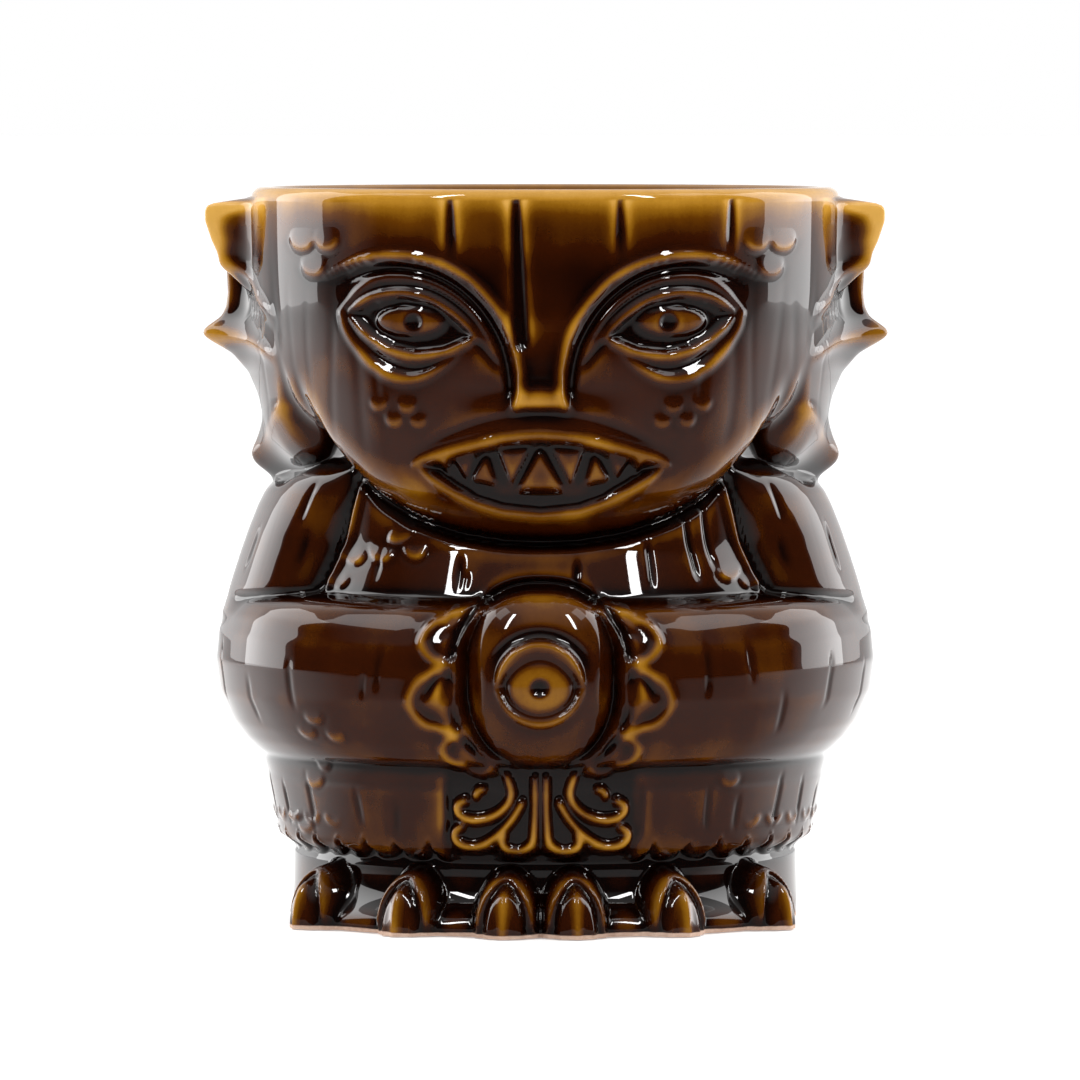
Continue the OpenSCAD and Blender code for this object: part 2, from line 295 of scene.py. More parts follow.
EYE_AT = (-22.4, 105.0)
EYE_WIDE = 6.3
EYE_TALL = 2.75
PUPIL_AT = (-21.7, 104.8)

brow_mask = blank(bool)
lids_mask = blank_sides()
eyeball_mask = blank_sides()
relief = blank()


def eye_line(points, side, reach=4.0):
    """A line of the left eye, or its mirror image for the right."""
    return Line(points, mirrored=side > 0, reach=reach)


for side in (-1, 1):
    across = -side * X
    brow = eye_line(BROW, side, 12)
    under_brow = (brow.side > 0) & brow.near
    # the hollow between brow and cheek: deepest just under the brow, and gone at the cheek
    hollow = np.where(under_brow, np.exp(-((brow.dist / 7.0) ** 2)), 0)
    hollow *= step(39, 33, np.abs(X)) * step(88, 94, Z)
    relief -= 0.9 * hollow
    brow_ridge = brow.bump(3.0, start=0.15, ease=0.3)
    relief += 0.95 * brow_ridge
    brow_mask |= brow_ridge > 0.12
    relief -= 1.05 * eye_line(BROW_FURROW, side).bump(1.9, start=0.1, end=0.8, ease=0.2)
    fold = eye_line(UPPER_FOLD, side).bump(2.3, start=0.5, end=0.3, ease=0.25)
    relief += 0.55 * fold
    relief -= 0.6 * eye_line(FOLD_FURROW, side).bump(1.5, start=0.1, end=0.2, ease=0.3)
    upper = eye_line(UPPER_LID, side).bump(1.7, start=0.5, end=0.5)
    lower_lid = eye_line(LOWER_LID, side).bump(1.5, start=0.5, end=0.5)
    bag = eye_line(BAG, side).bump(2.3, start=0.6, end=0.1, ease=0.35)
    relief += 0.75 * upper + 0.7 * lower_lid + 0.6 * bag
    relief -= 0.85 * eye_line(BAG_FURROW, side).bump(1.9, start=0.05, end=0.1, ease=0.4)
    relief -= 0.7 * eye_line(TEAR_FURROW, side).bump(1.6, start=0.3, end=0.2, ease=0.3)
    lids = (upper > 0.1) | (lower_lid > 0.1) | (bag > 0.12) | (fold > 0.14)
    opening = inside_corners(EYE_OPENING, side > 0)
    relief -= 1.3 * step(-0.3, 1.0, opening)
    pool_and_shade_extra += 0.25 * step(0.2, 1.2, opening)
    ball_d = np.hypot((across - EYE_AT[0]) / EYE_WIDE, (Z - EYE_AT[1]) / EYE_TALL)
    ball = np.sqrt(np.clip(1 - ball_d**2, 0, 1)) * FRONT
    relief += 1.5 * ball
    pool_and_shade_extra -= 0.4 * step(0.1, 0.5, ball)
    pupil_d = np.hypot(across - PUPIL_AT[0], Z - PUPIL_AT[1])
    pupil = step(1.55, 0.85, pupil_d) * FRONT
    relief -= 0.9 * pupil
    pool_and_shade_extra += 0.9 * step(1.45, 1.0, pupil_d) * FRONT
    eyeball_mask[side] = (ball_d < 1.0) & FRONT
    lids_mask[side] = lids & (opening < 0.6) & ~eyeball_mask[side]

# the nose wedge between the two brow lines, cut off square below
nose_half = np.interp(Z, [89, 91, 97, 101.5, 106, 110, 114], [4.6, 4.3, 3.9, 4.9, 7.1, 10.5, 15])
nose = step(0.6, -0.6, np.abs(X) - nose_half) * step(113, 92, Z) * step(89.6, 90.9, Z) * FRONT
relief += 1.9 * nose * step(112, 96, Z)
nose_floor = step(0.4, -1.6, np.abs(X) - nose_half) * step(92.6, 94.6, Z) * step(104, 96, Z) * FRONT
relief -= 0.85 * nose_floor
pool_and_shade_extra += 0.3 * nose_floor
under_nose = np.exp(-((X / 3.4) ** 2 + ((Z - 89.3) / 1.0) ** 2)) * FRONT
relief -= 0.6 * under_nose
brow_mask |= (nose > 0.25) & (Z < 97)

# forehead grooves, as if worked with a gouge: x at the rim, x and height of the low end, width, depth
GROOVES = [(-15.5, -15.2, 115.4, 2.2, 0.9), (-4.2, -3.3, 101.6, 3.0, 1.15), (13.6, 13.7, 115.6, 2.0, 0.8),
           (32.6, 32.3, 116.4, 1.9, 0.6)]
WIDE_GROOVE = 2.5  # a groove at least this wide stays deep to its low end
for x_top, x_low, z_low, width, depth in GROOVES:
    groove = Line([(x_top, 125.3), (x_low, z_low)], reach=5)
    across_groove = width * (0.55 + 0.5 * groove.along)
    cut = np.clip(1 - (groove.dist / (across_groove / 2)) ** 2, 0, 1) ** 1.2
    cut = np.where(groove.near, cut, 0)
    fade = step(z_low - 0.5, z_low + 5, Z) if width < WIDE_GROOVE else 1
    relief -= depth * cut * fade
    pool_and_shade_extra += 0.35 * cut * fade
    groove_edge = np.exp(-(((groove.dist - across_groove * 0.62) / 0.75) ** 2))
    pool_and_shade_extra -= 0.15 * (np.where(groove.near, groove_edge, 0) * step(z_low - 2, z_low + 3, Z))

lay_scales(relief, [(-41.2, 118.8, 2.3), (-36.8, 119.0, 2.3), (-39.1, 114.4, 2.3), (36.8, 119.0, 2.3),
                    (41.2, 118.8, 2.3), (39.1, 114.4, 2.3), (-27.2, 91.2, 1.6), (-22.4, 90.9, 1.6),
                    (-24.6, 88.5, 1.6), (-20.6, 88.4, 1.6), (22.2, 90.9, 1.6), (27.0, 91.2, 1.6),
                    (20.4, 88.4, 1.6), (24.4, 88.5, 1.6)])

# soft upright grain in the cheeks, down the sides and behind
CHEEK_GRAIN = [-52, -46, -39.5, -33, 33.5, 40, 46.5, 53, 58, -58, 66, -66, 74, -74]
for k, angle in enumerate(CHEEK_GRAIN):
    drift = angle + 1.2 * np.sin(Z / 9.0 + 2 * k)
    width = 0.9 + 0.3 * (k % 3)
    line = np.exp(-(((AROUND - drift) / width) ** 2)) * step(80, 88, Z) * step(112 + 3 * (k % 4), 100, Z)
    relief -= (0.09 + 0.03 * (k % 3)) * line
for k, angle in enumerate(range(100, 262, 9)):
    angle = angle if angle <= 180 else angle - 360
    away = short_way(AROUND - angle - 1.5 * np.sin(Z / 13.0 + 1.7 * k))
    top, low = 122 - 5 * (k % 3), 80 + 7 * ((k * 2) % 4)
    line = np.exp(-((away / 0.9) ** 2)) * step(low, low + 7, Z) * step(top + 3, top - 4, Z)
    relief -= 0.5 * line

# mouth
UPPER_LIP = [(-21.6, 80.3), (-20.2, 81.2), (-16, 82.6), (-11.4, 83.9), (-6.4, 85.2), (0, 85.8), (6.4, 85.2),
             (11.4, 83.9), (16, 82.6), (20.2, 81.2), (21.6, 80.3)]
LOWER_LIP = [(-20.6, 79.9), (-18.6, 78.0), (-14.5, 75.2), (-10.6, 73.3), (-6.4, 72.0), (0, 71.4), (6.4, 72.0),
             (10.6, 73.5), (14.8, 75.6), (18.6, 78.0), (20.6, 79.9)]
mouth_up = np.interp(X, [p[0] for p in UPPER_LIP], [p[1] for p in UPPER_LIP], left=0, right=0)
mouth_low = np.interp(X, [p[0] for p in LOWER_LIP], [p[1] for p in LOWER_LIP], left=99, right=99)
mouth_depth = np.minimum(mouth_up - 0.9 - Z, (Z - mouth_low - 0.8)) * FRONT
mouth_depth = np.where(FRONT & (np.abs(X) < 20.6), mouth_depth, -9)
relief -= 1.9 * step(-0.2, 1.3, mouth_depth)
pool_and_shade_extra += 0.22 * step(0, 1.2, mouth_depth)
upper_lip = Line(UPPER_LIP).bump(2.0, start=0.5, end=0.5)
lower_lip = Line(LOWER_LIP).bump(2.2, start=0.4, end=0.4, ease=0.2)
relief += 0.8 * upper_lip + 0.75 * lower_lip
pool_and_shade_extra -= 0.02 * (upper_lip + lower_lip)
lips_mask = ((upper_lip > 0.1) | (lower_lip > 0.1)) & (mouth_depth < 0.5)
SMILE = [(-25, 80.2), (-21, 83), (-15, 86), (-8, 88.2), (0, 88.6), (8, 88.2), (15, 86), (21, 83), (25, 80.2)]
relief -= 0.3 * Line(SMILE).bump(2.6, start=0.1, end=0.1, ease=0.35)

TEETH = [[(-0.1, 83.2), (3.9, 76.3), (-3.9, 76.3)],
         [(-7.4, 83.3), (-1.6, 83.6), (-5.0, 77.2)], [(7.4, 83.3), (5.2, 77.2), (1.6, 83.6)],
         [(-9.4, 82.2), (-7.6, 77.2), (-12.0, 77.9)], [(9.2, 82.2), (11.8, 77.9), (7.6, 77.2)],
         [(-14.9, 81.3), (-10.8, 82.5), (-12.8, 78.1)], [(15.1, 81.3), (13.0, 78.4), (11.0, 82.5)],
         [(-17.4, 80.9), (-15.3, 81.5), (-16.3, 79.2)], [(17.6, 80.9), (16.6, 79.2), (15.5, 81.5)]]
teeth_mask = blank(bool)
teeth = blank()
for corners in TEETH:
    first, second, third = np.array(corners)
    if np.cross(second - first, third - second) > 0:
        corners = corners[::-1]
    depth = inside_corners(corners)
    teeth = np.maximum(teeth, step(-0.4, 0.45, depth))
    teeth_mask |= depth > -0.2
relief += 1.15 * teeth * step(-0.2, 0.6, mouth_depth + 0.2)
pool_and_shade_extra -= 0.08 * step(0.15, 0.9, teeth)
teeth_mask &= mouth_depth > 0.1

head += 0.8 * relief * step(-0.5, 3.5, above_jaw)

# ---------------------------------------------------------------- fins
# Two blades a side: the cupped ear's, a little forward, and the web's with the lower spikes.
# Each outline is heights, and how far from the axis the blade's edge is at them.

EAR_OUT = ([104, 106.5, 109.8, 113.2, 118, 121.5, 123.6, 124.8, 125.5],
           [46, 49.2, 52.6, 56.0, 58.4, 59.6, 59.7, 58.6, 51])
WEB_OUT = ([76.4, 77.4, 78.6, 80.6, 83.5, 87.2, 91, 95, 98.3, 100.1, 101.2, 102.4, 103.4, 104.8, 106.5,
            109, 113, 117.5, 122],
           [45.5, 49.5, 51.3, 51.7, 50.6, 49.4, 50.3, 52.0, 54.9, 58.0, 59.4, 59.5, 58.6, 56.8, 56.0,
            55.7, 55.9, 55.4, 50])
EAR_ANGLE = 85.5
WEB_ANGLE = 91.5
FIN_R = 52


def blade(out, centre, front_soft, back_soft, edge):
    """How far a fin stands past the head wall: sharp at its edge, with hollow sides that run into it."""
    reach = np.maximum(np.interp(Z, *out, left=0, right=0) - (head_wall - jaw_roll), 0)
    arc = np.radians(SIDE - centre) * FIN_R
    soft = np.where(arc < 0, front_soft, back_soft)
    return reach * np.exp(-(np.sqrt(arc**2 + edge**2) - edge) / soft)


ear = blade(EAR_OUT, EAR_ANGLE, 2.2, 2.6, 0.75)
web_front = np.interp(Z, [77, 84, 90, 98, 102, 106, 112], [5.5, 5.5, 7, 6, 4.5, 2.6, 1.6])
web = blade(WEB_OUT, WEB_ANGLE, web_front, 3.2, 0.8)
fin_rise = np.where(Z > 75.5, higher(ear, web, 0.7), 0)
# ridges that run from the spikes in across the web
RIDGES = [([64, 74, 84.5], [104.4, 107.6, 114]), ([64, 78, WEB_ANGLE], [97.4, 100.2, 102]),
          ([60, 74, WEB_ANGLE], [91.2, 87.0, 80.6])]
fin_ridges = blank()
for turns, heights in RIDGES:
    ridge = np.exp(-(((Z - np.interp(SIDE, turns, heights)) / 1.4) ** 2))
    ridge_ends = step(turns[0], turns[0] + 10, SIDE), step(turns[2] + 5, turns[2], SIDE)
    fin_ridges = np.maximum(fin_ridges, ridge * ridge_ends[0] * ridge_ends[1])
gills = blank()
for k in range(4):
    gill = np.exp(-(((SIDE - (77.5 + 2.5 * k)) / 0.5) ** 2))
    gills = np.maximum(gills, gill * step(104.6 - 0.2 * k, 105.6, Z) * step(109.2, 107.8, Z))
head = head + fin_rise + 0.6 * fin_ridges - 0.4 * gills
on_fin = ((fin_rise > 0.5) | (fin_ridges > 0.35)) & (above_jaw > 0.2) & (SIDE > 56) & (SIDE < 124)
fin_mask = {side: (np.sign(AROUND) == side) & on_fin for side in (-1, 1)}

# ---------------------------------------------------------------- body, arms, hands, orb

SKIRT_RADII = [42.6, 43.1, 44.0, 43.6, 43.9, 45.0, 46.6, 49.2, 49.6]
ARM_LOW, ARM_TOP = 27.9, 58.2
ARM_BACK = 127  # the angle where the forearms run out into the back
UPPER_ARM_LOW, UPPER_ARM_TOP = 44, 80
UPPER_ARM_ANGLE = 84
ELBOW_Z = 57.2

torso = soft_steps(Z, WALL_HEIGHTS, WALL_RADII, 1.0)
chest = soft_steps(Z, [40, 54, 57.5, 66.5, 72, 90], [49.6, 48.0, 46.8, 43.0, 42.4, 42.2], 1.0)
body = torso + (chest - torso) * step(46, 54, Z)
skirt = soft_steps(Z, [0, FOOT_H, 2.6, FLOOR_Z, 12.6, 13.8, 14.6, 27.5, 42], SKIRT_RADII, 0.5)
body = np.where(Z < 25, skirt, body)
# the neck's hollow behind the jaw, between jaw, shoulder and fin
body = body - (0.8 + 1.6 * np.exp(-(((SIDE - 60) / 8) ** 2))) * step(71, 79, Z)

fore_side = soft_steps(Z, [ARM_LOW, 28.6, 29.6, 31.6, 34.4, 39.6, 45, 50, 53.4, 55.6, 57.0, 57.9],
                       [44, 49.3, 50.6, 52.6, 54.6, 56.9, 57.6, 57.1, 56.0, 54.4, 52.0, 44], 0.35)
fore_front = soft_steps(Z, [ARM_LOW, 28.6, 30, 32.6, 36, 40, 45, 49.5, 53, 55.6, 57.2, ARM_TOP],
                        [44, 48.8, 51.6, 53.6, 55.0, 55.9, 56.0, 55.2, 53.4, 51.2, 48.6, 43], 0.35)
to_side = step(28, 62, SIDE)
forearm = fore_front * (1 - to_side) + fore_side * to_side
forearm = np.where(SIDE < ARM_BACK, body + (forearm - body) * step(ARM_BACK, 99, SIDE), 0)
forearm = np.where((Z > ARM_LOW) & (Z < ARM_TOP), forearm, 0)

upper_side = soft_steps(Z, [UPPER_ARM_LOW, 49, 53, 56.6, 60, 64, 68, 72, 74.6, 77, 78.9, UPPER_ARM_TOP],
                        [46, 52.5, 55.6, 55.6, 54.6, 53.3, 51.9, 50.3, 49.0, 47.2, 44.5, 40], 0.6)
arm_front_edge = 51.5 + (76 - Z) * 0.28
before = SIDE < UPPER_ARM_ANGLE
over_arm = (SIDE - UPPER_ARM_ANGLE) / np.where(before, UPPER_ARM_ANGLE - arm_front_edge, 41)
over_arm = np.clip(over_arm, -1, 1)
upper_swell = np.where(before, np.clip(1 - np.abs(over_arm) ** 2.3, 0, 1) ** 0.66, 1 - step(0, 1, over_arm))
at_upper_arm = (Z > UPPER_ARM_LOW) & (Z < UPPER_ARM_TOP) & (upper_swell > 0)
upper_arm = np.where(at_upper_arm, body + (upper_side - body) * upper_swell, 0)
elbow_fold = np.exp(-(((Z - ELBOW_Z) / 0.9) ** 2)) * step(76, 58, SIDE) * step(8, 16, SIDE)
upper_arm -= 6 * step(57.6, 55.6, Z) * step(80, 64, SIDE)

arms = higher(forearm, upper_arm, 0.9 + 2.1 * step(50, 72, SIDE)) - 0.7 * elbow_fold
skin = higher(body, arms, 0.35)
is_forearm = (forearm > body + 0.25) & (forearm >= upper_arm)
is_upper_arm = (upper_arm > body + 0.25) & ~is_forearm & (Z > 55.6)
beside_arm = step(57.5, 59, Z) * step(79, 77, Z)
chest_gap = np.exp(-(((SIDE - arm_front_edge + 0.4) / 1.1) ** 2))
chest_ridge = np.exp(-(((SIDE - arm_front_edge + 3.6) / 1.1) ** 2))
skin += (0.75 * chest_ridge - 0.9 * chest_gap) * beside_arm
pool_and_shade_extra += (0.3 * chest_gap + 0.06 * chest_ridge) * beside_arm + 0.3 * elbow_fold
pool_and_shade_extra += 0.3 * step(74, 78, Z) * step(48, 53, SIDE) * step(70, 64, SIDE) * step(0.5, -0.5, above_jaw)

lay_scales(skin, [(-31.4, 64.8, 2.0), (-24.0, 68.6, 2.1), (-20.8, 66.0, 2.0), (-26.6, 65.4, 2.1),
                  (-34.4, 60.4, 1.7), (31.5, 62.0, 1.9), (35.0, 60.4, 1.7), (-34.7, 37.2, 1.4),
                  (-36.4, 34.6, 1.4), (-32.0, 34.4, 1.4), (-39.2, 25.9, 1.7), (-37.4, 28.6, 1.2),
                  (32.2, 26.6, 1.7), (-42.4, 19.2, 1.4), (-40.4, 17.4, 1.4)])

# grain worked into the arms, chest and skirt: [angle, low, high, width in mm, depth]
GRAIN = [(-17.5, 59, 65, 1.1, 0.5), (-15.6, 59, 62.5, 1.0, 0.4), (8.0, 59, 64.5, 1.1, 0.75),
         (24.2, 59, 68, 1.0, 0.5), (35.5, 60, 74, 1.1, 0.6), (41.5, 62, 76, 1.0, 0.5),
         (-38.5, 60, 66, 0.9, 0.35), (-61, 69.5, 77, 1.4, 0.5), (-59.5, 61.5, 69, 1.4, 0.45),
         (-75, 61, 69, 1.3, 0.45), (-90, 63, 73, 1.3, 0.45), (61, 69.5, 77, 1.4, 0.5),
         (60, 61.5, 68, 1.4, 0.45), (74, 61, 70, 1.3, 0.45), (90, 62, 73, 1.3, 0.45),
         (-101, 61, 71, 1.2, 0.5), (101, 61, 71, 1.2, 0.5), (-29.6, 42, 50, 0.9, 0.35),
         (-33, 40, 46, 0.9, 0.3), (30.2, 41, 51, 0.9, 0.4), (39.5, 43, 51, 0.9, 0.35),
         (47, 34, 42, 0.9, 0.3), (-49, 38, 47, 0.9, 0.35), (-62, 35, 44, 1.0, 0.3),
         (60, 38, 48, 1.0, 0.35), (75, 36, 46, 1.0, 0.3), (-78, 38, 49, 1.0, 0.35),
         (92, 37, 50, 1.0, 0.35), (-94, 34, 47, 1.0, 0.35), (-19.8, 15.5, 27, 1.1, 0.5),
         (20.4, 15.5, 27, 1.1, 0.5), (-41, 18, 25, 1.2, 0.25), (37, 17, 26, 1.1, 0.3),
         (45, 17, 24, 1.1, 0.25), (-31, 16, 23, 1.1, 0.22), (57, 17, 27, 1.1, 0.35),
         (-57, 17, 27, 1.1, 0.35)]
GRAIN += [(angle if angle <= 180 else angle - 360, 18 + 3 * (k % 3), 56 - 5 * (k % 4), 1.2, 0.5)
          for k, angle in enumerate(range(132, 232, 8))]
GRAIN += [(angle, 17, 26 - (k % 3), 1.1, 0.4)
          for k, angle in enumerate([68, -68, 80, -80, 93, -93, 105, -105, 118, -118])]
for k, (angle, low, high, width, depth) in enumerate(GRAIN):
    arc = np.radians(short_way(AROUND - angle - 0.7 * np.sin(Z / 6.0 + k))) * skin
    cut = np.clip(1 - (arc / (width * 0.62)) ** 2, 0, 1) ** 1.3
    cut = cut * step(low - 0.5, low + 2.5, Z) * step(high + 0.5, high - 3, Z)
    skin -= depth * cut
    pool_and_shade_extra += 0.3 * depth * cut

# hands: three finger pads a side, that close on the orb; each is how far its middle swells, and its outline
FINGERS = [
    (0.15, [(-11.2, 57.4), (-13.6, 56.1), (-16.6, 54.3), (-19.4, 52.6), (-20.2, 50.6), (-19.0, 48.4),
            (-15.6, 46.9), (-13.0, 48.4), (-12.6, 52.0)]),
    (0.75, [(-15.8, 46.3), (-19.2, 44.8), (-21.7, 42.4), (-22.4, 40.0), (-21.2, 37.7), (-17.8, 36.0),
            (-13.4, 35.2), (-12.6, 38.0), (-12.7, 43.0)]),
    (0.1, [(-13.2, 35.0), (-15.7, 34.1), (-17.4, 32.0), (-16.9, 30.4), (-14.2, 29.4), (-8.6, 29.2),
           (-11.0, 31.4)])]
# stripes that fan out over the middle pad, and a furrow and a crease on the top one
STRIPES = [[(-15.9, 46), (-18.4, 43.4), (-19.9, 40.2)], [(-15.6, 46), (-16.4, 43), (-16.6, 39.5)],
           [(-13.2, 54.8), (-14.6, 51.5), (-15.2, 48.6)], [(-12.4, 54), (-17.2, 51.2)]]
PROUD = 1.13  # hands and orb stand this much further out than the wall that X is measured on
hand_mask = blank_sides()
finger_lift = blank()
hand_cover = blank()
for side in (-1, 1):
    across = -side * X * PROUD
    for swell, outline in FINGERS:
        pts = np.array(outline)
        middle = pts.mean(0)
        turn = np.arctan2(Z - middle[1], across - middle[0])
        corner = np.arctan2(pts[:, 1] - middle[1], pts[:, 0] - middle[0])
        size = np.hypot(pts[:, 0] - middle[0], pts[:, 1] - middle[1])
        order = np.argsort(corner)
        edge = np.interp(turn, corner[order], size[order], period=2 * math.pi)
        ratio = np.hypot(Z - middle[1], across - middle[0]) / edge
        rim = np.exp(-(((ratio - 0.97) / np.where(ratio < 0.97, 0.13, 0.24)) ** 2)) * FRONT
        dome = np.sqrt(np.clip(1 - (ratio / 0.9) ** 2, 0, 1)) * FRONT
        finger_lift = np.maximum(finger_lift, 1.1 * rim + swell * dome)
        shaded = 0.3 * step(2, -2, Z - middle[1]) if swell > 0.5 else 0.3
        pool_and_shade_extra += (shaded * step(0.85, 0.5, ratio) - 0.06 * rim) * FRONT
        hand_mask[side] |= (ratio < 1.06) & FRONT
        hand_cover = np.maximum(hand_cover, step(1.45, 0.95, ratio) * FRONT)
    for points in STRIPES:
        on_wall = [(x / PROUD, z) for x, z in points]
        stripe = Line(on_wall, mirrored=side > 0).bump(1.2, start=0.4, end=0.2, ease=0.4)
        finger_lift -= 0.5 * stripe
        pool_and_shade_extra += 0.45 * stripe
hand_any = hand_mask[-1] | hand_mask[1]
hand_bed = soft_steps(Z, [27, 29, 31, 36, 45, 50, 54, 57.6, 59],
                      [48.6, 51, 52.6, 54.4, 55.0, 54.6, 52.8, 49.6, 46.6], 0.6)
hand_bed = np.minimum(skin, hand_bed)
skin = skin * (1 - hand_cover) + higher(hand_bed, skin - 0.6, 0.4) * hand_cover + finger_lift

ORB_HALF = 12.6
ORB_Z = 44.1
ORB_TALL = 15.0
ORB_SQUARE = 2.4  # 2 is an ellipse, more is squarer
orb_x = X * PROUD
orb_d = np.abs(X / ORB_HALF) ** ORB_SQUARE + np.abs((Z - ORB_Z) / ORB_TALL) ** ORB_SQUARE
orb_d = orb_d ** (1 / ORB_SQUARE)
orb_cover = FRONT & (orb_d < 1.0)
orb_blend = step(1.025, 0.975, orb_d) * FRONT
orb_gap = FRONT * np.exp(-(((orb_d - 1.08) / 0.05) ** 2))
skin -= 1.6 * orb_gap * step(28, 31, Z)
pool_and_shade_extra += 0.35 * orb_gap
orb_front = 48.6 + 8.0 * np.clip(1 - orb_d**2.3, 0, 1) ** 0.52
# the orb's own lids: a ring, an almond opening and the ball inside
EYE_Z = 43.6
BALL_Z = EYE_Z - 0.6
RING_R = 6.9
EYE_HALF = 7.1
ring_d = np.hypot(orb_x, Z - EYE_Z)
ring = np.exp(-(((ring_d - RING_R) / 0.48) ** 2)) * (0.75 + 0.25 * step(-3, 3, Z - EYE_Z))
lid_up = EYE_Z + 5.1 * np.clip(1 - (orb_x / 7.2) ** 2, 0, 1)
lid_low = EYE_Z - 6.2 * np.sqrt(np.clip(1 - (orb_x / EYE_HALF) ** 2, 0, 1))
orb_open = np.minimum(lid_up - Z, Z - lid_low)
orb_open = np.where((np.abs(orb_x) < EYE_HALF) & FRONT, orb_open, -9)
in_ring = step(7.5, RING_R, ring_d) * FRONT
orb_relief = 0.8 * ring + 0.75 * in_ring - 1.7 * step(-0.1, 0.9, orb_open)
orb_ball_d = np.hypot(orb_x / 6.0, (Z - BALL_Z) / 5.7)
orb_ball = np.sqrt(np.clip(1 - orb_ball_d**2, 0, 1)) * step(-0.1, 0.7, orb_open)
orb_relief += 2.0 * orb_ball
orb_pupil_d = np.hypot(orb_x, Z - BALL_Z)
orb_relief -= 0.9 * step(1.5, 0.85, orb_pupil_d)
over_lid = np.exp(-(((ring_d - 8.7) / 0.9) ** 2)) * step(44, 50, Z)
orb_relief -= 0.7 * over_lid
side_fold = np.exp(-(((np.abs(X) - 10.2) / 0.5) ** 2)) * step(38, 44, Z) * step(56, 51, Z)
orb_relief -= 0.35 * side_fold
skin = skin * (1 - orb_blend) + (orb_front + orb_relief) * orb_blend
orb_flank = np.exp(-(((np.abs(X) - 11.0) / 1.0) ** 2)) * step(31, 35, Z) * step(57, 53, Z)
orb_pool = 0.9 * step(1.45, 1.0, orb_pupil_d) - 0.26 * step(0.15, 0.6, orb_ball) - 0.42 * ring
orb_pool = orb_pool + 0.25 * over_lid + 0.15 * side_fold - 0.34 * orb_flank
pool_and_shade_extra += np.where(orb_cover, orb_pool, 0)
orb_lid_mask = orb_cover & (ring_d < 7.6) & (orb_open < 0.45)
orb_ball_mask = orb_cover & (orb_open >= 0.45) & (ring_d < 7.6)

# tentacle scrolls: the left half of each pair, from the middle outwards, and its width
STRANDS = [
    ([(-6.2, 29.4), (-5.6, 27.0), (-5.0, 24.6), (-5.6, 22.6), (-7.4, 20.9), (-9.8, 20.0), (-12.2, 19.9),
      (-14.0, 20.9), (-14.3, 22.4), (-13.0, 23.1)], 2.0),
    ([(-3.2, 22.8), (-5.0, 19.9), (-7.4, 17.2), (-9.9, 15.5), (-12.4, 15.1), (-14.3, 16.1), (-14.8, 17.6),
      (-13.6, 18.6)], 1.9),
    ([(-0.9, 27.5), (-0.9, 23.5), (-1.0, 19.0), (-1.5, 15.8), (-3.5, 14.3), (-5.6, 14.6), (-6.6, 15.9),
      (-6.2, 17.2)], 1.9),
    ([(-11.2, 24.0), (-10.8, 25.0), (-9.7, 25.3)], 1.6)]
ON_SKIRT = 0.99  # the skirt stands a little proud of the wall that X is measured on
scrolls = blank()
for points, width in STRANDS:
    on_wall = [(x * ON_SKIRT, z) for x, z in points]
    for mirrored in (False, True):
        strand = Line(on_wall, mirrored=mirrored)
        scrolls = np.maximum(scrolls, strand.bump(width, start=0.9, end=0.8, ease=0.15))
scroll_field = step(17, 15.4, np.abs(X)) * step(13.0, 14.2, Z) * step(29, 27, Z) * FRONT
skin += scroll_field * (-0.8 + 1.5 * np.sqrt(scrolls)) * (1 - orb_blend)
pool_and_shade_extra += scroll_field * (1 - orb_blend) * (0.12 - 0.24 * scrolls)
scroll_mask = (scrolls > 0.12) & ~orb_cover & ~hand_any & (Z < 29.2)

# hem of scales round the skirt, with a second row of small ones above it at the sides
HEM_COUNT = 44
HEM_PITCH = 360 / HEM_COUNT
HEM_Z = 15.6
HEM_SCALE_TALL = 2.4
UNDER_HEM = 43.7
hem_cell = (AROUND / HEM_PITCH) % 1 - 0.5
hem_edge = Z - (HEM_Z - HEM_SCALE_TALL * np.sqrt(np.clip(1 - (hem_cell * 2.05) ** 2, 0, 1)))
hem_lip = np.exp(-(((hem_edge - 0.4) / 0.45) ** 2)) * step(18, 16.5, Z)
hem_on = 1 - step(16.6, 15.4, np.abs(X)) * (np.cos(TURN_ALL) > 0)
tucked = (Z < 17) & (Z > 10.5) & (hem_edge < 0) & (hem_on > 0.5)
skin = np.where(tucked, np.minimum(skin, UNDER_HEM + 0.9 * step(-0.9, 0, hem_edge)), skin)
skin += 0.45 * hem_lip * hem_on
pool_and_shade_extra -= (0.16 + 0.1 * np.sin(AROUND * 0.31 + 1.0)) * hem_lip * hem_on
even_glaze = np.maximum(even_glaze, hem_on * step(-0.6, -0.2, hem_edge) * step(18.5, 16, Z))
hem_mask = (hem_edge > -0.25) & (Z < 17.2) & (Z > 12.4) & (hem_on > 0.5)
between = ((AROUND + HEM_PITCH / 2) / HEM_PITCH) % 1 - 0.5
small_scale = np.exp(-((np.hypot(between * 5.4, Z - 19.6) - 1.6) / 0.45) ** 2) * step(19.9, 18.9, Z)
skin += 0.35 * small_scale * step(46, 52, SIDE)

